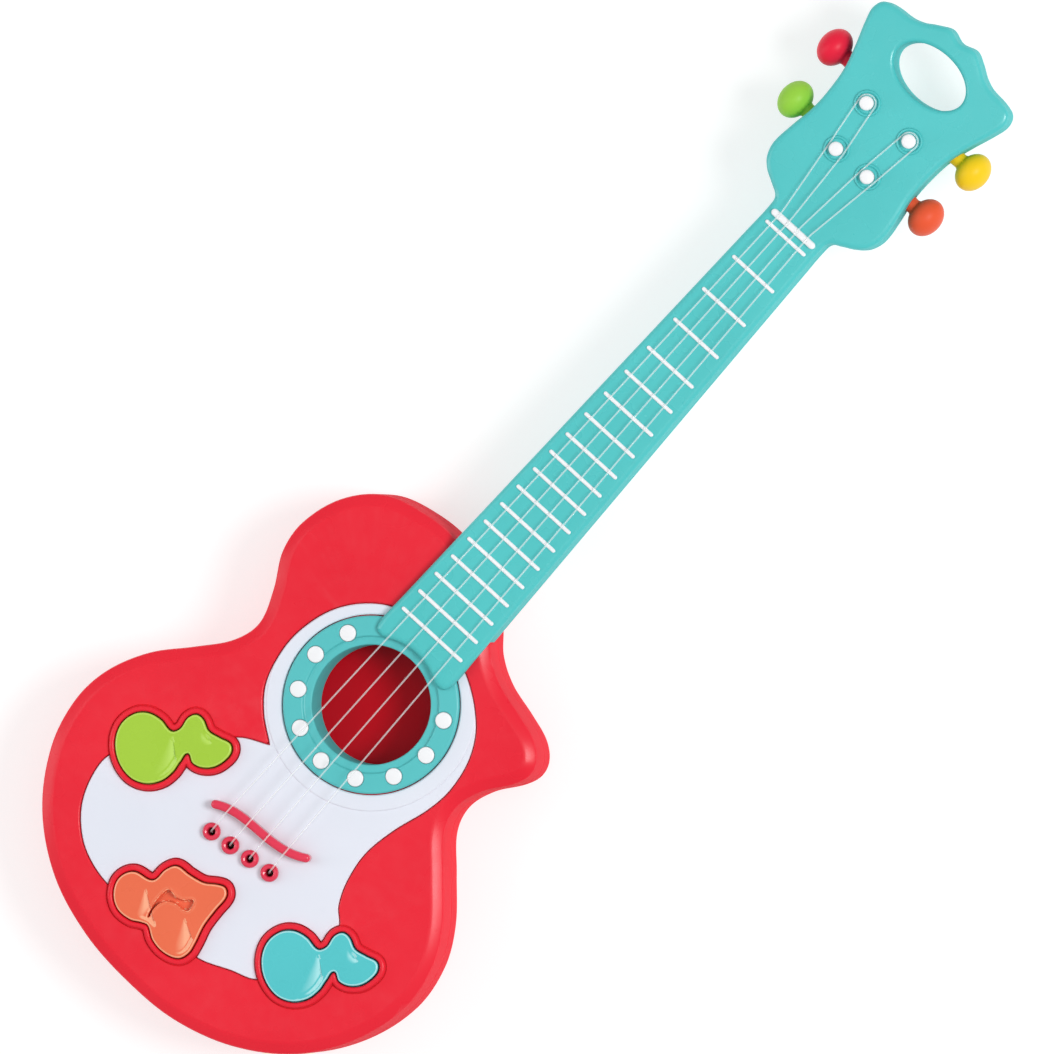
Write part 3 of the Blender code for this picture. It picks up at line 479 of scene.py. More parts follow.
def wire(name, points, radius):
    """A tube along points, as a mesh."""
    curve = bpy.data.curves.new(name, "CURVE")
    curve.dimensions = "3D"
    curve.bevel_depth = radius * MM
    curve.bevel_resolution = 4
    curve.use_fill_caps = True
    spline = curve.splines.new("POLY")
    spline.points.add(len(points) - 1)
    for point, place in zip(spline.points, points):
        point.co = (*(value * MM for value in place), 1)
    obj = linked(name, curve)
    bm = bmesh.new()
    bm.from_mesh(evaluated(obj))
    bpy.data.objects.remove(obj)
    return new_object(name, bm)


def paint(obj, material):
    obj.data.materials.clear()
    obj.data.materials.append(material)


def place(obj, body, slot, material, *nodes, angle=32):
    """The last steps for each piece: shading, with edges over the angle sharp, finish and body. The slot is
    not used.
    """
    triangulated(obj)
    obj.data.shade_smooth()
    obj.data.set_sharp_from_angle(angle=math.radians(angle))
    modifier = obj.modifiers.new("normals", "WEIGHTED_NORMAL")
    modifier.keep_sharp = True
    apply_modifiers(obj)
    paint(obj, material)
    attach(obj, body)
    if nodes:
        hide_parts(*nodes)


# Materials

def node(tree, kind, **values):
    made = tree.nodes.new(kind)
    for key, value in values.items():
        setattr(made, key, value)
    return made


def noise(tree, coords, scale, detail=3.0):
    made = node(tree, "ShaderNodeTexNoise")
    made.inputs["Scale"].default_value = scale
    made.inputs["Detail"].default_value = detail
    tree.links.new(coords, made.inputs["Vector"])
    return made.outputs["Fac"]


def spread(tree, source, low, high, from_low=0.3, from_high=0.7):
    made = node(tree, "ShaderNodeMapRange")
    tree.links.new(source, made.inputs["Value"])
    for key, value in (("From Min", from_low), ("From Max", from_high), ("To Min", low), ("To Max", high)):
        made.inputs[key].default_value = value
    return made.outputs["Result"]


def maths(tree, operation, *sources):
    made = node(tree, "ShaderNodeMath", operation=operation)
    for socket, source in zip(made.inputs, sources):
        if isinstance(source, float):
            socket.default_value = source
        else:
            tree.links.new(source, socket)
    return made.outputs[0]


def roughen(tree, shader, height, strength, distance):
    bump = node(tree, "ShaderNodeBump")
    bump.inputs["Strength"].default_value = strength
    bump.inputs["Distance"].default_value = distance
    tree.links.new(height, bump.inputs["Height"])
    tree.links.new(bump.outputs["Normal"], shader.inputs["Normal"])


def mottled(tree, source, a, b):
    return blend(tree, spread(tree, source, 0, 1), a, b)


def blend(tree, factor, a, b):
    made = node(tree, "ShaderNodeMix", data_type="RGBA")
    tree.links.new(factor, made.inputs[0])
    for socket, value in ((made.inputs[6], a), (made.inputs[7], b)):
        if isinstance(value, tuple):
            socket.default_value = (*value, 1.0)
        else:
            tree.links.new(value, socket)
    return made.outputs[2]


def start(name):
    material = bpy.data.materials.new(name)
    material.use_nodes = True
    tree = material.node_tree
    shader = tree.nodes["Principled BSDF"]
    coords = node(tree, "ShaderNodeTexCoord").outputs["Object"]
    return material, tree, shader, coords


def moulded(
    name, colour, roughness=0.3, grain=0.2, shift=0.025, coat=0.0, worn=0.15, specular=0.3,
    highlight_colour=None, satin=0.0,
):
    """Injection-moulded plastic: faint flow marks in the colour, a fine skin, and edges rubbed paler.
    With a highlight colour given, faces that lean a little off the front and the rounded rim are painted that
    colour as a painted highlight, and creases are darkened as painted shade. With satin, upright walls have
    that roughness, as a mould's textured sides leave them."""
    material, tree, shader, coords = start(name)
    dark = tuple(c * (1 - shift) for c in colour)
    light = tuple(min(1.0, c * (1 + shift) + 0.004) for c in colour)
    pale = tuple(min(1.0, c * 0.75 + 0.22) for c in colour)
    flow = noise(tree, coords, 22, 2.0)
    base = mottled(tree, flow, dark, light)
    edges = node(tree, "ShaderNodeNewGeometry").outputs["Pointiness"]
    rub = spread(tree, noise(tree, coords, 160, 4.0), 0, worn, 0.35, 0.75)
    base = blend(tree, maths(tree, "MULTIPLY", spread(tree, edges, 0, 1, 0.53, 0.62), rub), base, pale)
    axes = node(tree, "ShaderNodeSeparateXYZ")
    tree.links.new(node(tree, "ShaderNodeTexCoord").outputs["Normal"], axes.inputs[0])
    slope = maths(tree, "ABSOLUTE", axes.outputs["Z"])
    # Painted highlight: faces leaning a little off the front, such as the buttons' facets, and the rounded
    # rims found by pointiness take the highlight colour, standing in for light catching them.
    if highlight_colour:
        off_front = spread(tree, slope, 1, 0, 0.986, 0.9975)
        lean = maths(tree, "MULTIPLY", off_front, spread(tree, slope, 0, 1, 0.5, 0.7))
        share = maths(tree, "MAXIMUM", lean, spread(tree, edges, 0, 0.9, 0.54, 0.6))
        base = blend(tree, share, base, highlight_colour)
        # Painted shade: concave creases, such as the slot's walls and the facets' steps, are darkened towards
        # 45 % of the colour.
        crease = spread(tree, edges, 0.85, 0, 0.40, 0.475)
        base = blend(tree, crease, base, tuple(c * 0.45 for c in colour))
    tree.links.new(base, shader.inputs["Base Color"])
    haze = spread(tree, noise(tree, coords, 70, 3.0), roughness * 0.85, roughness * 1.25)
    rough = maths(tree, "MAXIMUM", haze, spread(tree, slope, roughness, satin, 0.5, 0.2))
    tree.links.new(rough, shader.inputs["Roughness"])
    fine = noise(tree, coords, 2600, 2.0)
    soft = noise(tree, coords, 240, 2.0)
    roughen(tree, shader, maths(tree, "MULTIPLY_ADD", fine, 0.35, soft), grain, 0.00012)
    shader.inputs["Coat Weight"].default_value = coat
    shader.inputs["Coat Roughness"].default_value = 0.12
    shader.inputs["Specular IOR Level"].default_value = specular
    return material


def metal(name, colour, roughness=0.32, brushed=True):
    material, tree, shader, coords = start(name)
    stretch = node(tree, "ShaderNodeMapping")
    stretch.inputs["Scale"].default_value = (1, 12, 1) if brushed else (1, 1, 1)
    tree.links.new(coords, stretch.inputs["Vector"])
    lines = noise(tree, stretch.outputs["Vector"], 900, 4.0)
    spots = noise(tree, coords, 120, 3.0)
    dark = tuple(c * 0.72 for c in colour)
    tree.links.new(mottled(tree, spots, dark, colour), shader.inputs["Base Color"])
    rough = spread(tree, lines, roughness * 0.7, roughness * 1.4)
    tree.links.new(rough, shader.inputs["Roughness"])
    roughen(tree, shader, lines, 0.2, 0.00005)
    shader.inputs["Metallic"].default_value = 1.0
    return material


def elastic(name):
    """Clear, slightly milky elastic cord."""
    material, tree, shader, coords = start(name)
    milk = noise(tree, coords, 300, 3.0)
    tone = mottled(tree, milk, (0.95, 0.98, 0.98), (0.98, 0.99, 0.99))
    tree.links.new(tone, shader.inputs["Base Color"])
    tree.links.new(spread(tree, milk, 0.3, 0.4), shader.inputs["Roughness"])
    shader.inputs["Transmission Weight"].default_value = 0.3
    shader.inputs["IOR"].default_value = 1.15
    shader.inputs["Alpha"].default_value = 0.38
    return material


RED = (0.845, 0.016, 0.036)
WHITE = (0.80, 0.83, 0.92)
TEAL = (0.075, 0.56, 0.56)
red = moulded("body red", RED, 0.27, specular=0.26, satin=0.85)
red_back = moulded("back red", RED, 0.38, grain=0.6, specular=0.24, satin=0.85)
saddle_red = moulded("saddle red", (0.80, 0.035, 0.085), 0.2, coat=0.5)
# Painted shade: the sound well is the body's red plastic darkened, standing in for the shade deep in the
# hole.
shaded_well_red = moulded("well red painted shade", (0.62, 0.003, 0.012), 0.16, grain=0.15, specular=0.12)
white = moulded("panel white", WHITE, 0.36, shift=0.012, coat=0.3)
trim_white = moulded("trim white", (0.92, 0.93, 0.95), 0.3, shift=0.012, coat=0.3)
teal = moulded("neck teal", TEAL, 0.25, grain=0.25, specular=0.6, satin=0.8)
ring_teal = moulded("rosette teal", (0.10, 0.55, 0.56), 0.28, grain=0.25, specular=0.35, satin=0.9)
# Each button's second colour is a painted highlight for its facets and rims; its creases get painted shade.
lime = moulded("button lime", (0.38, 0.63, 0.045), 0.26, coat=0.2, highlight_colour=(0.50, 0.76, 0.11))
orange = moulded("button orange", (0.87, 0.16, 0.07), 0.26, coat=0.2, highlight_colour=(0.98, 0.42, 0.24))
aqua = moulded("button aqua", (0.09, 0.58, 0.61), 0.26, coat=0.2, highlight_colour=(0.38, 0.80, 0.82))
peg_plastics = {}
for hue, colour in (
    ("red", (0.82, 0.012, 0.045)), ("yellow", (0.95, 0.62, 0.012)),
    ("green", (0.32, 0.66, 0.06)), ("orange", (0.82, 0.10, 0.035)),
):
    peg_plastics[hue] = moulded("peg " + hue, colour, 0.38, specular=0.2)
steel = metal("zinc steel", (0.58, 0.58, 0.6))
brass = metal("contact metal", (0.72, 0.7, 0.62), 0.25)
cord = elastic("clear elastic")
rubber = moulded("dome rubber", (0.42, 0.42, 0.44), 0.65, grain=0.6)
laminate = moulded("board laminate", (0.30, 0.17, 0.05), 0.5, grain=0.8, shift=0.15, coat=0.1)
resin = moulded("chip resin", (0.02, 0.02, 0.022), 0.25, coat=0.5)
paper = moulded("cone paper", (0.03, 0.03, 0.035), 0.85, grain=1.5, shift=0.3)
jacket = metal("cell jacket", (0.13, 0.14, 0.17), 0.35, brushed=False)
lead_black = moulded("black lead", (0.02, 0.02, 0.022), 0.45)
lead_red = moulded("red lead", (0.55, 0.02, 0.03), 0.45)

body = smooth(BODY_OUTLINE, 8)
panel = smooth(PANEL_OUTLINE, 8)
neck_points = [*NECK_HALF_OUTLINE, NECK_TIP, *[(-x, y) for x, y in reversed(NECK_HALF_OUTLINE[1:])]]
neck = smooth(neck_points, 6)
note = smooth(NOTE_OUTLINE, 7)
notes = {"green": note, "orange": smooth(BEAMED_OUTLINE, 7), "teal": note + np.array(NOTE_TO_TEAL)}
saddle_y = np.polynomial.Polynomial.fit(*np.array(SADDLE_LINE).T, 5)


# Body

def front_shell():
    low = BODY_SPLIT + SEAM
    profile = [(-0.45, low), (0, low + 0.45), (0, low + 6), (0, low + 12)]
    profile += arc((-1.2, BODY_FRONT - 3.2), (1.2, 1.5), 0, 60, 5)
    profile += raised(BODY_FRONT, [
        (-1.35, -1.5), (-2.1, -1.06), (-2.9, -0.68), (-3.5, -0.4), (-4.0, -0.19), (-4.5, -0.06), (-5.0, 0),
    ])
    shell = swept("front_shell", body, profile)
    cut(shell, slab("cavity", offset(body, -BODY_WALL), 2, CEILING))
    join(
        shell,
        rods("bosses", BODY_SCREWS, 3.6, 9.3, CEILING + 0.8),
        rods("board_bosses", BOARD_POSTS, 2.6, 23.9, CEILING + 0.8),
        rods("heel_boss", [HEEL_SCREW], 3.6, NECK_SPLIT, CEILING + 0.8),
    )
    lip = 0.5
    recess = [(GAP, RECESS_FLOOR), (GAP, BODY_FRONT - lip)]
    for t in (0.5, 1.0, 1.45):
        recess.append((GAP + lip - lip * math.cos(t), BODY_FRONT - lip + lip * math.sin(t)))
    recess.append((GAP + lip + 0.1, BODY_FRONT + 3))
    cut(shell, swept("recess", panel, recess))
    crest = (1.4, BODY_FRONT + 0.75)
    trench = raised(BODY_FRONT, [(RIM_WIDTH + 0.2, -0.6), (RIM_WIDTH + 0.3, -0.3), (RIM_WIDTH + 0.65, 1)])
    for which, outline in notes.items():
        mound = [(RIM_WIDTH, CEILING + 0.6)]
        mound += raised(BODY_FRONT, [(RIM_WIDTH, -0.1), (RIM_WIDTH - 0.15, 0.4)])
        mound += arc(crest, (1.05, 0.9), 5, 75, 6)
        cut(shell, swept("trench_" + which, outline, trench))
        join(shell, swept("mound_" + which, outline, mound))
        well = [(BUTTON_GAP, 25), (BUTTON_GAP, BODY_FRONT + 0.6)] + arc(crest, (0.95, 0.9), 165, 105, 5)
        well.append((crest[0] - 0.2, 50))
        cut(shell, swept("well_" + which, outline, well))
    cut(
        shell,
        rods("hole", [(0, 0)], 30, 25, 50, 96),
        rods("pin_holes", PINS, PIN_HOLE, 25, 50),
        rods("foot_holes", FEET, FOOT_HOLE, 25, 50),
        box("tongue_window", (-11.4, 44, NECK_BACK + 2), (11.4, 80, NECK_SPLIT)),
    )
    place(shell, ROOT, "shell_red", red, "body_front_shell")


def back_shell():
    high = BODY_SPLIT - SEAM
    profile = arc((-4.4, 4.0), (4.4, 4.0), -90, 0, 8)
    profile += [(0, high - 6), (0, high - 0.45), (-0.45, high)]
    shell = swept("back_shell", body, profile)
    cut(shell, slab("cavity", offset(body, -BODY_WALL), BODY_WALL, 60))
    x, y = SWITCH
    wall = 1.6
    join(
        shell,
        rods("sleeves", BODY_SCREWS, 5, 1, 9),
        box("ledge", (DOOR_LOW[0] - 2, DOOR_LOW[1] - 2, 1), (DOOR_HIGH[0] + 2, DOOR_HIGH[1] + 2, 4.4)),
        box("bay", (BAY_LOW[0] - wall, BAY_LOW[1] - wall, 1), (BAY_HIGH[0] + wall, BAY_HIGH[1] + wall, 19.6)),
        rods("door_boss", [DOOR_SCREW], 3.6, 1, 12),
        box("switch_pocket", (x - 12, y - 7, 1), (x + 12, y + 7, 6.4)),
    )
    grille = [SPEAKER]
    for ring, count in ((4.4, 6), (8.8, 12), (13.2, 18)):
        turns = [2 * math.pi * i / count for i in range(count)]
        grille += [(SPEAKER[0] + ring * math.cos(t), SPEAKER[1] + ring * math.sin(t)) for t in turns]
    seat = rectangle([v - GAP for v in DOOR_LOW], [v + GAP for v in DOOR_HIGH])
    around_switch = rectangle((x - 8, y - 4.5), (x + 8, y + 4.5))
    cut(
        shell,
        box("bay_inside", (*BAY_LOW, -1), (*BAY_HIGH, 18)),
        swept("door_seat", seat, [(0.5, -1), (0.4, 0), (0.1, 0.35), (0, 0.8), (0, 2.4)]),
        rods("door_pilot", [DOOR_SCREW], 1.6, 1, 10),
        rods("counterbores", BODY_SCREWS, 3.4, -1, 5.7, 32),
        rods("screw_holes", BODY_SCREWS, 1.8, 4, 12),
        rods("grille", grille, 1.0, -1, 5, 16),
        swept("switch_recess", around_switch, [(0.7, -1), (0.6, 0), (0.15, 0.5), (0, 1.0), (0, 3.6)]),
        box("switch_slot", (x - 6.2, y - 2, 2), (x + 6.2, y + 2, 8)),
    )
    sink = [(0, -0.6), (4.6, -0.6), (4.1, 0.0), (3.3, 0.8), (0, 0.8)]
    dish = [(0, -1), (18, -1), (17.4, 0.0), (16.6, 0.7), (0, 0.7)]
    groove = [(16.4, -1), (17.2, -1), (17.2, 1.0), (16.4, 1.0)]
    cut(
        shell,
        *turned("sink", sink, BODY_SCREWS, 32),
        lathe("speaker_dish", dish, (*SPEAKER, 0), steps=72),
        lathe("grille_ring", groove, (*SPEAKER, 0), steps=72, closed=True),
    )
    place(shell, ROOT, "shell_red", red_back, "body_back_shell")


def pickguard():
    low = RECESS_FLOOR + GAP
    guard = slab("pickguard", offset(panel, -0.05), low, PANEL_TOP, 0.45)
    ring = arc((ANNULUS_RADIUS - 0.8, PANEL_TOP - 0.35), (0.8, 0.75), 0, 90, 6)
    step = [(0, low + 0.5), (ANNULUS_RADIUS, low + 0.5), *ring, (0, PANEL_TOP + 0.4)]
    disc = lathe("annulus", step, steps=128)
    combine(disc, "INTERSECT", [slab("trim", offset(panel, -0.5), low, 50)])
    join(guard, disc)
    window = [(RIM_WIDTH + RIM_GROOVE, 30)]
    for more, height in ((RIM_GROOVE, -0.4), (0.45, -0.12), (0.7, 0.02), (0.8, 3)):
        window.append((RIM_WIDTH + more, PANEL_TOP + height))
    for which, outline in notes.items():
        cut(guard, swept("window_" + which, outline, window))
    ring_window = [
        (0, 30), (RING_RADIUS + 0.45, 30), (RING_RADIUS + 0.45, PANEL_TOP + 0.1),
        (RING_RADIUS + 0.9, PANEL_TOP + 0.41), (RING_RADIUS + 0.9, 50), (0, 50),
    ]
    cut(
        guard,
        lathe("ring_window", ring_window, steps=128),
        rods("pin_windows", PINS, PIN_HOLE, 30, 50),
        rods("foot_windows", FEET, FOOT_HOLE, 30, 50),
    )
    place(guard, ROOT, "panel_white", white, "pickguard_panel")


def dot_places():
    """The nine of a clock's twelve places that the fingerboard leaves free."""
    turns = [math.radians(90 + 30 * hour) for hour in range(2, 11)]
    return [(DOT_CIRCLE * math.cos(t), DOT_CIRCLE * math.sin(t)) for t in turns]


def sound_hole():
    floor = RECESS_FLOOR + GAP
    outer = arc((RING_RADIUS - 0.9, RING_TOP - 0.9), 0.9, 90, 0, 6)
    inner = arc((HOLE_RADIUS + 0.7, RING_TOP - 2.0), 0.7, 180, 105, 4)
    profile = [
        (26.3, RING_TOP), (30, RING_TOP), *outer, (RING_RADIUS, floor), (31.7, floor),
        (31.7, RING_TOP - 1.6), (TUBE_RADIUS, RING_TOP - 1.6), (TUBE_RADIUS, WELL_FLOOR + 0.5),
        (HOLE_RADIUS, WELL_FLOOR + 0.5), (HOLE_RADIUS, 22), (HOLE_RADIUS, 30), *inner,
        *raised(RING_TOP, [(24.9, -1.3), (25.3, -1.05), (25.6, -0.3), (25.9, -0.06)]),
    ]
    ring = lathe("ring", profile, steps=144, closed=True)
    cup = [
        (0, 33), (DOT_RADIUS + 0.14, 33), (DOT_RADIUS + 0.14, RING_TOP - 0.3),
        (DOT_RADIUS + 0.45, RING_TOP + 0.02), (DOT_RADIUS + 0.5, 45), (0, 45),
    ]
    cut(ring, *turned("dot_cup", cup, dot_places(), 40))
    place(ring, ROOT, "neck_teal", ring_teal, "rosette_ring")

    band = [(31.3, RING_TOP - 1.9), (31.3, floor), (25.2, floor), (25.2, RING_TOP - 1.9)]
    carrier = lathe("dots", band, steps=96, closed=True)
    top, edge = RING_TOP + 0.2, 0.45
    stud = [(0, floor + 0.4), (DOT_RADIUS, floor + 0.4), (DOT_RADIUS, top - edge)]
    stud += arc((DOT_RADIUS - edge, top - edge), edge, 15, 80, 4)
    stud += raised(top, [(DOT_RADIUS - 1.2, 0.06), (1.0, 0.14), (0, 0.16)])
    join(carrier, *turned("stud", stud, dot_places(), 36))
    place(carrier, ROOT, "trim_white", trim_white, "rosette_dots")

    cup = [(0, WELL_FLOOR), (22.6, WELL_FLOOR)] + arc((24, WELL_FLOOR + 1), 1.0, -90, 0, 4)
    cup += [(25, 34.3), (32.2, 34.3), (32.2, 32.7), (26.6, 32.7), (26.6, WELL_FLOOR - 2), (0, WELL_FLOOR - 2)]
    # The well takes the darkened red, a painted shade for the depth of the hole.
    place(lathe("well", cup, steps=96), ROOT, "shell_red", shaded_well_red, "sound_well")


def bridge():
    xs = np.interp(np.linspace(0, 1, 41), np.linspace(0, 1, len(SADDLE_LINE)), [x for x, _ in SADDLE_LINE])
    outline = ribbon(np.column_stack([xs, saddle_y(xs)]), 3.3)
    profile = [(0, PANEL_TOP + GAP), (0, SADDLE_TOP - 1.4)]
    profile += arc((-1.35, SADDLE_TOP - 1.3), (1.35, 1.3), 10, 80, 6)
    saddle = swept("saddle", outline, profile)
    for x in SADDLE_XS:
        y = float(saddle_y(x))
        cut(saddle, wire("notch", [(x, y - 4, SADDLE_TOP + 0.45), (x, y + 4, SADDLE_TOP + 0.45)], 0.75))
    place(saddle, ROOT, "saddle_red", saddle_red, "bridge_saddle")
    profile = [
        (1.5, 39.2), (1.7, 39.75), (2.2, 40.0), (2.7, 39.95), (3.15, 39.6), (3.4, 39.0),
        (3.4, PANEL_TOP + GAP), (2.5, PANEL_TOP + GAP), (2.5, 33.5), (1.4, 33.5), (1.4, 38.4),
    ]
    for number, (x, y) in enumerate(PINS, 1):
        pin = lathe(f"pin_{number}", profile, (x, y, 0), steps=48, closed=True)
        cut(pin, box("slit", (x - 0.55, y + 1, 38.6), (x + 0.55, y + 4, 42)))
        place(pin, ROOT, "saddle_red", saddle_red, f"string_pin_{number}")


def button(which, material):
    outline = notes[which]
    move = np.array(NOTE_TO_TEAL) if which == "teal" else np.zeros(2)
    slot_line = smooth(BEAM_SLOT, 4)
    facets = []
    for *corners, depth in FACETS["orange" if which == "orange" else "note"]:
        apex, shallow, deep = (np.array(p, float) + move for p in corners)
        along = (deep - apex) / np.linalg.norm(deep - apex)
        facets.append((apex, shallow, deep, depth, along, np.array([-along[1], along[0]])))

    def height(spots, inward, rim_height):
        """Almost flat; each facet sinks from its shallow side to its deep side, and ends there in a step."""
        z = rim_height + 0.1 * (1 - np.exp(-inward / 3))
        edge = np.clip((inward - 0.3) / 1.2, 0, 1)
        for apex, shallow, _, depth, along, across in facets:
            away = spots - apex
            reach = np.linalg.norm(away, axis=1)
            first = math.atan2(*(shallow - apex)[::-1])
            width = (math.atan2(along[1], along[0]) - first + math.pi) % (2 * math.pi) - math.pi
            past = (np.arctan2(away[:, 1], away[:, 0]) - first + math.pi) % (2 * math.pi) - math.pi
            share = np.clip(past / width, 0, 1) ** 1.5
            share *= (past > 0) & (past < width + 1)
            beyond = np.clip((away @ across) / STEP, 0, 1)
            length = np.linalg.norm(shallow - apex)
            near = np.clip((1.3 * length - reach) / (0.3 * length), 0, 1)
            z -= depth * share * (1 - beyond) * near * np.clip(reach / (0.8 * length), 0, 1) * edge
        if which == "orange":
            within = inside_of(slot_line, spots)
            depth = distance_to(slot_line, spots)
            z -= SLOT_DEPTH * within * np.clip(depth / SLOT_WALL, 0, 1)
            z += 0.12 * ~within * np.exp(-((depth / 0.9) ** 2)) * np.clip(inward / 1.6, 0, 1)
        return z

    profile = [*round_topped(CEILING - 1.2, BUTTON_TOP, BUTTON_EDGE, 12, 6), (-0.9, BUTTON_TOP)]
    lines = [(apex, shallow) for apex, shallow, *_ in facets]
    for apex, _, deep, _, along, across in facets:
        near_end, far_end = apex + 0.4 * along, deep + 3 * along
        lines += [(near_end, far_end), (near_end + STEP * across, far_end + STEP * across)]
    if which == "orange":
        lines += [np.vstack([edge, edge[:1]]) for edge in (slot_line, offset(slot_line, -SLOT_WALL))]
    piece = crowned("key_" + which, outline, profile, height, 0.42 if which == "orange" else 0.6, lines)
    x, y = PLUNGERS[which]
    flange = slab("flange", offset(outline, 1.4), CEILING - GAP - 1.7, CEILING - GAP)
    plunger = rods("plunger", [(x, y)], 2.4, 29.3, 36)
    join(piece, flange, plunger)
    place(piece, "button_" + which, "button_" + which, material, "button_" + which, angle=50)


def rubber_dome(which):
    """The hollow dome that returns a button and gives way under it; here it is made in its rest shape only.
    """
    low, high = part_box("rubber_dome_" + which)
    x, y = PLUNGERS[which]
    base, tall = low[2] / MM, (high[2] - low[2]) / MM
    profile = [
        (0, tall), (2.1, tall), (2.4, tall - 0.3), (2.6, tall - 1.3), (3.2, 2.6), (4.2, 1.4), (4.7, 1.1),
        (5.4, 1.0), (5.6, 0.8), (5.6, 0), (4.3, 0), (3.9, 0.7), (2.5, 2.3), (1.9, tall - 1.4),
        (1.4, tall - 1.7), (1.3, tall - 2.9), (0, tall - 2.9),
    ]
    dome = lathe("dome_" + which, profile, (x, y, base), steps=48)
    place(dome, ROOT, "dome_rubber", rubber, "rubber_dome_" + which, angle=40)
    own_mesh(dome)


# Neck

def neck_cavity(low, high):
    """The room inside the neck, which stops short of the body and leaves a wall round the handle."""
    inside = slab("inside", offset(neck, -NECK_WALL), low, high)
    grip = [half + HANDLE_WALL for half in HANDLE_HALF]
    return cut(
        inside,
        slab("stop", offset(body, 2.5), 5, 70),
        slab("grip_room", ellipse((0, HANDLE_Y), grip), 5, 70),
    )


def peg_channels():
    """The round holes for the pegs' shafts, half in each neck shell."""
    bore = [(0, 15), (3.75, 15), (3.75, 60), (0, 60)]
    return [
        lathe("channel", bore, (0, y, NECK_SPLIT), axis=axis, steps=32)
        for y, _ in PEG_ROWS.values() for axis in ("X", "-X")
    ]


def neck_front():
    low = NECK_SPLIT + SEAM
    profile = [(-0.35, low), (0, low + 0.35), (0, low + 4)]
    profile += arc((-2.3, NECK_FRONT - 1.9), (2.3, 1.9), 0, 90, 7)
    shell = swept("neck_front", neck, profile)
    over = BODY_FRONT + GAP
    cut(
        shell,
        slab("over_body", offset(body, GAP), 10, over),
        rods("ring_room", [(0, 0)], RING_RADIUS + 0.6, 30, RING_TOP + GAP, 96),
    )
    cut(shell, neck_cavity(15, over - 0.1))
    collar = raised(NECK_FRONT, [
        (0, -1), (5.2, -1), (5.1, 0.3), (4.85, 0.85), (4.6, 1.0), (4.3, 0.95), (3.95, 0.5), (3.75, 0.05),
        (0, 0.04),
    ])
    posts = [(side * x, y) for x, y in (UPPER_POST, LOWER_POST) for side in (-1, 1)]
    join(shell, *turned("collar", collar, posts, 48))
    edge = 1.6
    hole = [(0, 10), (0, NECK_FRONT - edge)]
    for t in np.radians((20, 40, 60, 75, 88)):
        hole.append((edge - edge * math.cos(t), NECK_FRONT - edge + edge * math.sin(t)))
    hole.append((1.7, 60))
    cut(
        shell,
        swept("grip_hole", ellipse((0, HANDLE_Y), HANDLE_HALF, 96), hole),
        rods("post_holes", posts, 2.62, 30, 60, 40),
    )
    cut(shell, *peg_channels())
    place(shell, ROOT, "neck_teal", teal, "neck_front_shell")


def neck_rear():
    high = NECK_SPLIT - SEAM
    profile = arc((-4.2, NECK_BACK + 4.2), (4.2, 4.2), -90, 0, 8) + [(0, high - 0.35), (-0.35, high)]
    shell = swept("neck_rear", neck, profile)
    inside = neck_cavity(NECK_BACK + 2, 60)
    cut(inside, *[rods("boss_room", [at], 4.6, 5, 70) for at in NECK_SCREWS])
    cut(shell, slab("behind_body", offset(body, GAP), 10, BODY_FRONT + GAP), inside)
    join(shell, box("tongue", (-11, 42, NECK_BACK + 2.3), (11, 76, NECK_SPLIT - GAP)))
    edge = 1.6
    hole = [(edge, 10), (edge, NECK_BACK)]
    for t in np.radians((15, 35, 55, 75, 90)):
        hole.append((edge - edge * math.sin(t), NECK_BACK + edge - edge * math.cos(t)))
    hole.append((0, 60))
    cut(
        shell,
        swept("grip_hole", ellipse((0, HANDLE_Y), HANDLE_HALF, 96), hole),
        rods("counterbores", NECK_SCREWS, 3.3, 20, 28.6, 32),
        rods("screw_holes", [*NECK_SCREWS, HEEL_SCREW], 1.7, 20, 34),
    )
    cut(shell, *peg_channels())
    place(shell, ROOT, "neck_teal", teal, "neck_back_shell")


def fret_half_length(y):
    """A fret stops 2.9 mm short of the tapering neck's edge."""
    (low_half, low), (high_half, high) = NECK_HALF_OUTLINE[7], NECK_HALF_OUTLINE[8]
    return low_half + (high_half - low_half) * (y - low) / (high - low) - 2.9


def frets():
    ys = [FIRST_FRET + sum(FRET_STEPS[:i]) for i in range(len(FRET_STEPS) + 1)]
    profile = round_topped(38.9, FRET_TOP, 0.55, 15, 4)
    bars = [swept("bar", capsule((0, y), fret_half_length(y), 0.75), profile) for y in ys]
    place(merged("frets", *bars), ROOT, "trim_white", trim_white, "fret_strip")
    profile = round_topped(NECK_FRONT - 1.7, NUT_TOP, 0.8, 12, 5)
    nut = swept("top_nut", capsule((0, NUT_Y), NUT_HALF_LENGTH, 1.35), profile)
    for x in NUT_XS:
        cut(nut, wire("groove", [(x, NUT_Y - 4, NUT_TOP + 0.5), (x, NUT_Y + 4, NUT_TOP + 0.5)], 0.8))
    place(nut, ROOT, "trim_white", trim_white, "nut")
    profile = [
        (0, 45.6), (1.4, 45.58), (2.0, 45.48), (2.45, 45.25), (2.7, 44.85), (2.72, 44.4), (2.5, 44.15),
        (2.42, 43.6), (2.5, 43.0), (2.5, 34.5), (0, 34.5),
    ]
    for row, (x, y) in (("upper", UPPER_POST), ("lower", LOWER_POST)):
        for side, sign in (("left", -1), ("right", 1)):
            post = lathe(f"post_{row}_{side}", profile, (sign * x, y, 0), steps=40)
            place(post, ROOT, "trim_white", trim_white, f"string_post_{row}_{side}")


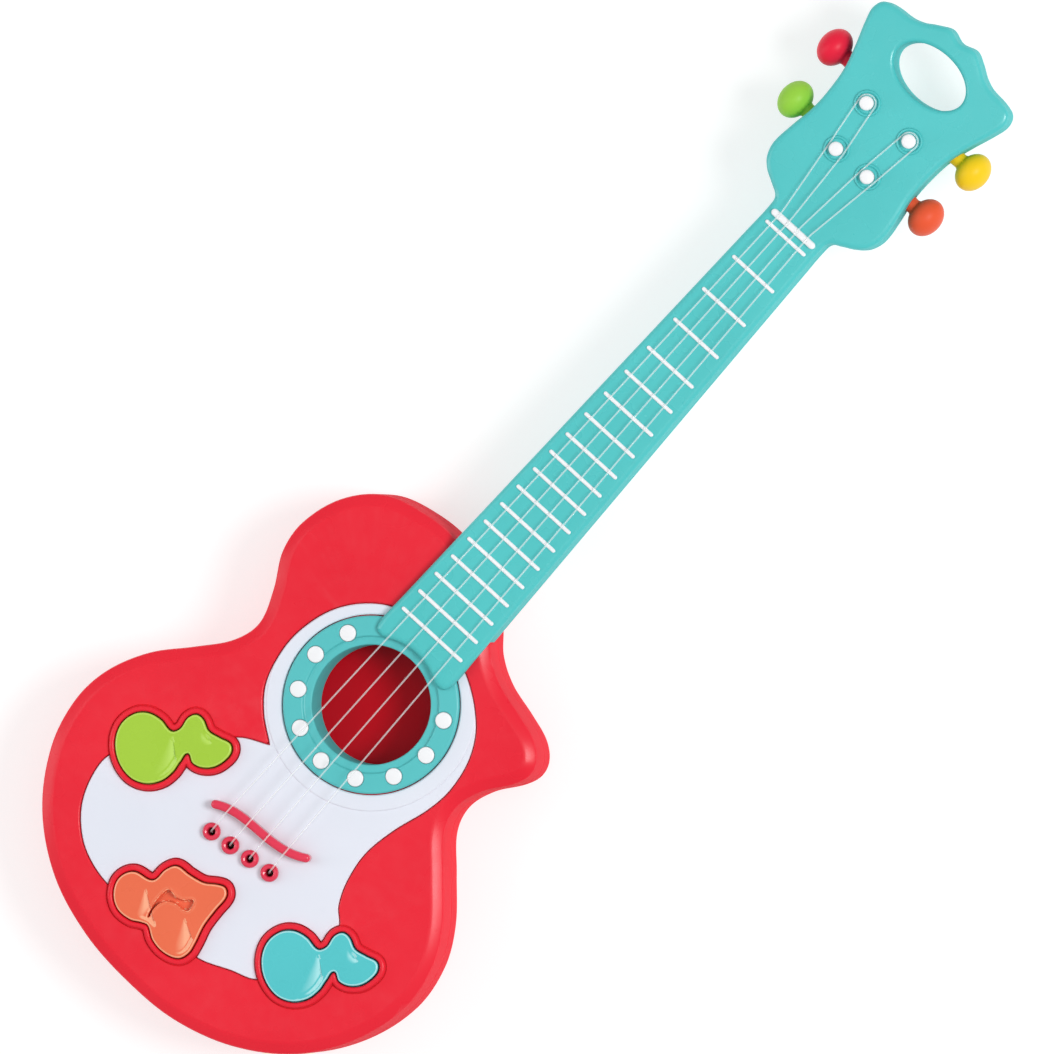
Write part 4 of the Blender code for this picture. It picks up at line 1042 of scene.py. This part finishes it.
def pegs():
    hues = {"upper_left": "red", "upper_right": "yellow", "lower_left": "green", "lower_right": "orange"}
    shaft = [(3.3, 22.2), (4.4, 22.2), (4.4, 20.6), (3.3, 20.6), (3.3, 19), (0, 19)]
    for row, (y, out) in PEG_ROWS.items():
        turns = [math.pi * step / 20 for step in range(18)]
        knob = [(7.6 * math.sin(t), out + 6.0 * math.cos(t)) for t in turns]
        knob += [(3.2, out - 5.6), (3.0, out - 6.2), (3.0, out - 7), *shaft]
        for side, axis in (("left", "-X"), ("right", "X")):
            which = f"{row}_{side}"
            hue = hues[which]
            peg = lathe("peg_" + which, knob, (0, y, NECK_SPLIT), axis=axis, steps=56)
            place(peg, "peg_" + which, "peg_" + hue, peg_plastics[hue], "tuning_peg_" + which, angle=40)


def strings():
    """Two loops, each from a pin over the saddle and the nut, round its post and back to the next pin."""
    saddle_z, nut_z = SADDLE_TOP + GAP + STRING_RADIUS, NUT_TOP + GAP + STRING_RADIUS
    post_z, reach = NECK_FRONT + 1.2 + STRING_RADIUS, 2.7 + GAP + STRING_RADIUS

    def run(index, side_of_post, sign):
        (pin_x, pin_y), x, nut_x = PINS[index], SADDLE_XS[index], NUT_XS[index]
        y = float(saddle_y(x))
        return [
            (pin_x, pin_y, 34), (pin_x, pin_y, 39.0), (pin_x, pin_y + 0.15, 39.9), (pin_x, pin_y + 0.7, 40.6),
            (pin_x, pin_y + 1.6, 41.1), (pin_x, pin_y + 3, 41.6),
            (x, y - 2.6, saddle_z - 0.2), (x, y - 1.2, saddle_z - 0.02), (x, y, saddle_z),
            (nut_x, NUT_Y - 1, nut_z), (nut_x, NUT_Y + 0.4, nut_z), (nut_x * 1.01, NUT_Y + 3, nut_z - 0.1),
            (sign * LOWER_POST[0] + side_of_post * reach, LOWER_POST[1], post_z),
        ]

    for name, sign, first, last in (("left", -1, 0, 1), ("right", 1, 2, 3)):
        turns = np.radians(180 - 12 * np.arange(16))
        centre = (sign * UPPER_POST[0], UPPER_POST[1])
        bend = [(centre[0] + reach * math.cos(t), centre[1] + reach * math.sin(t), post_z) for t in turns]
        path = run(first, -1, sign) + bend + run(last, 1, sign)[::-1]
        loop = wire("strings_" + name, path, STRING_RADIUS)
        place(loop, ROOT, "elastic", cord, "string_loop_" + name, angle=70)


# Back details

def door():
    lid = box("door", (*DOOR_LOW, 0.3), (*DOOR_HIGH, 2.1), 0.35)
    sink = [(0, -1), (4.0, -1), (3.9, 0.3), (3.3, 0.8), (3.3, 1.3), (0, 1.3)]
    cut(lid, lathe("sink", sink, (*DOOR_SCREW, 0), steps=40))
    cut(lid, rods("hole", [DOOR_SCREW], 1.7, 0, 3))
    for k in range(7):
        line = DOOR_LOW[1] + 7 + 2.2 * k
        cut(lid, slab("rib", capsule((0, line), 13 - 1.1 * k, 0.6), -1, 0.75))
    place(lid, "battery_door", "shell_red", red_back, "battery_door")


def cross_screw(name, body_name, at, low, top, radius, shank, height, node_name):
    """A screw whose domed head faces back, with a cross in it."""
    dome = 0.45 * height
    profile = [(0, top), (shank, top - 1.5)]
    profile += raised(low, [(shank, height), (radius, height), (radius, dome)])
    profile += arc((radius - 0.9, low + dome), (0.9, dome), 0, -75, 4)[1:] + [(0, low)]
    made = lathe(name, profile, (*at, 0), steps=32)
    x, y = at
    deep = min(0.5 * height, 0.9)
    cut(made, box("slot_a", (x - 1.7, y - 0.3, low - 1), (x + 1.7, y + 0.3, low + deep)))
    cut(made, box("slot_b", (x - 0.3, y - 1.7, low - 1), (x + 0.3, y + 1.7, low + deep)))
    place(made, body_name, "steel", steel, node_name)


def screws():
    for number, at in enumerate(BODY_SCREWS, 1):
        cross_screw(f"case_screw_{number}", ROOT, at, 3.4, 19, 2.8, 1.1, 2.0, f"body_screw_{number}")
    for number, at in enumerate(NECK_SCREWS, 1):
        cross_screw(f"rear_screw_{number}", ROOT, at, 26.4, 37, 2.7, 1.0, 2.0, f"neck_screw_{number}")
    cross_screw("door_screw", "battery_door", DOOR_SCREW, 0.5, 8.5, 2.7, 1.1, 0.72, "battery_door_screw")


def slider():
    x, y = SWITCH
    start_x = x - 4
    knob = box("slider", (start_x - 3.4, y - 4.1, 0.6), (start_x + 3.4, y + 4.1, 3.3), 0.35)
    for k in range(-2, 3):
        rib_x = start_x + k * 1.15
        cut(knob, box("rib", (rib_x - 0.28, y - 3.3, -1), (rib_x + 0.28, y + 3.3, 1.0)))
    join(knob, box("stem", (start_x - 1.6, y - 1.6, 2.5), (start_x + 1.6, y + 1.6, 8.6)))
    place(knob, "switch_slider", "trim_white", trim_white, "power_switch_slider")


def carried_over():
    """CAD nodes whose shape already serves, given their finish."""
    finishes = {
        "battery_cell_": jacket, "battery_contact_": brass, "battery_lead": lead_red, "board_screw_": steel,
        "key_board": laminate, "neck_heel_screw": steel, "power_switch_body": steel,
        "sound_chip": resin, "speaker_basket": steel, "speaker_cone": paper, "speaker_lead": lead_black,
    }
    for name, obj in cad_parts.items():
        for start_of_name, material in finishes.items():
            if name.startswith(start_of_name):
                paint(obj, material)


front_shell()
back_shell()
pickguard()
sound_hole()
bridge()
for which, material in (("green", lime), ("orange", orange), ("teal", aqua)):
    button(which, material)
    rubber_dome(which)
neck_front()
neck_rear()
frets()
pegs()
strings()
door()
screws()
slider()
carried_over()


# Studio

def floor():
    bm = bmesh.new()
    bmesh.ops.create_grid(bm, x_segments=2, y_segments=2, size=6)
    obj = new_object("studio_floor", bm)
    obj.location.z = -0.0002
    material, tree, shader, coords = start("studio white")
    grain = noise(tree, coords, 3, 2.0)
    tone = mottled(tree, grain, (0.48, 0.48, 0.48), (0.50, 0.50, 0.50))
    tree.links.new(tone, shader.inputs["Base Color"])
    shader.inputs["Roughness"].default_value = 0.9
    shader.inputs["Emission Color"].default_value = (1, 1, 1, 1)
    shader.inputs["Emission Strength"].default_value = 0.6
    obj.data.materials.append(material)


def lamp(name, at, target, size, power):
    data = bpy.data.lights.new(name, "AREA")
    data.shape = "DISK"
    data.size = size
    data.energy = power
    obj = linked(name, data)
    obj.location = at
    obj.rotation_euler = (Vector(target) - Vector(at)).to_track_quat("-Z", "Y").to_euler()
    obj.visible_camera = False


floor()
middle = (0, 0.08, 0)
lamp("key", (1.0, 0.92, 1.65), middle, 0.8, 22.5)
lamp("top", (0.3, 0.35, 2.1), middle, 1.0, 3)
lamp("fill", (-1.2, -0.6, 1.5), middle, 1.2, 5)
lamp("rim", (-1.0, -0.75, 0.45), (0, 0.03, 0), 0.6, 2.5)
world = bpy.data.worlds.new("studio")
world.use_nodes = True
background = world.node_tree.nodes["Background"]
background.inputs["Color"].default_value = (1, 1, 1, 1)
background.inputs["Strength"].default_value = 0.44
bpy.context.scene.world = world

camera_data = bpy.data.cameras.new("camera")
camera_data.lens = 743.9
camera_data.clip_end = 20
camera_data.sensor_width = 36
camera = linked("camera", camera_data)
eye = Vector((0.9185, 0.8660, 8.040))
target = Vector((-0.0005, 0.0885, 0.040))
lean = math.radians(42.04)
forward = (target - eye).normalized()
up = Vector((-math.sin(lean), math.cos(lean), 0))
right = forward.cross(up).normalized()
up = right.cross(forward)
camera.matrix_world = Matrix.Translation(eye) @ Matrix((right, up, -forward)).transposed().to_4x4()
bpy.context.scene.camera = camera
bpy.context.scene.view_settings.view_transform = "Standard"

bpy.context.view_layer.update()
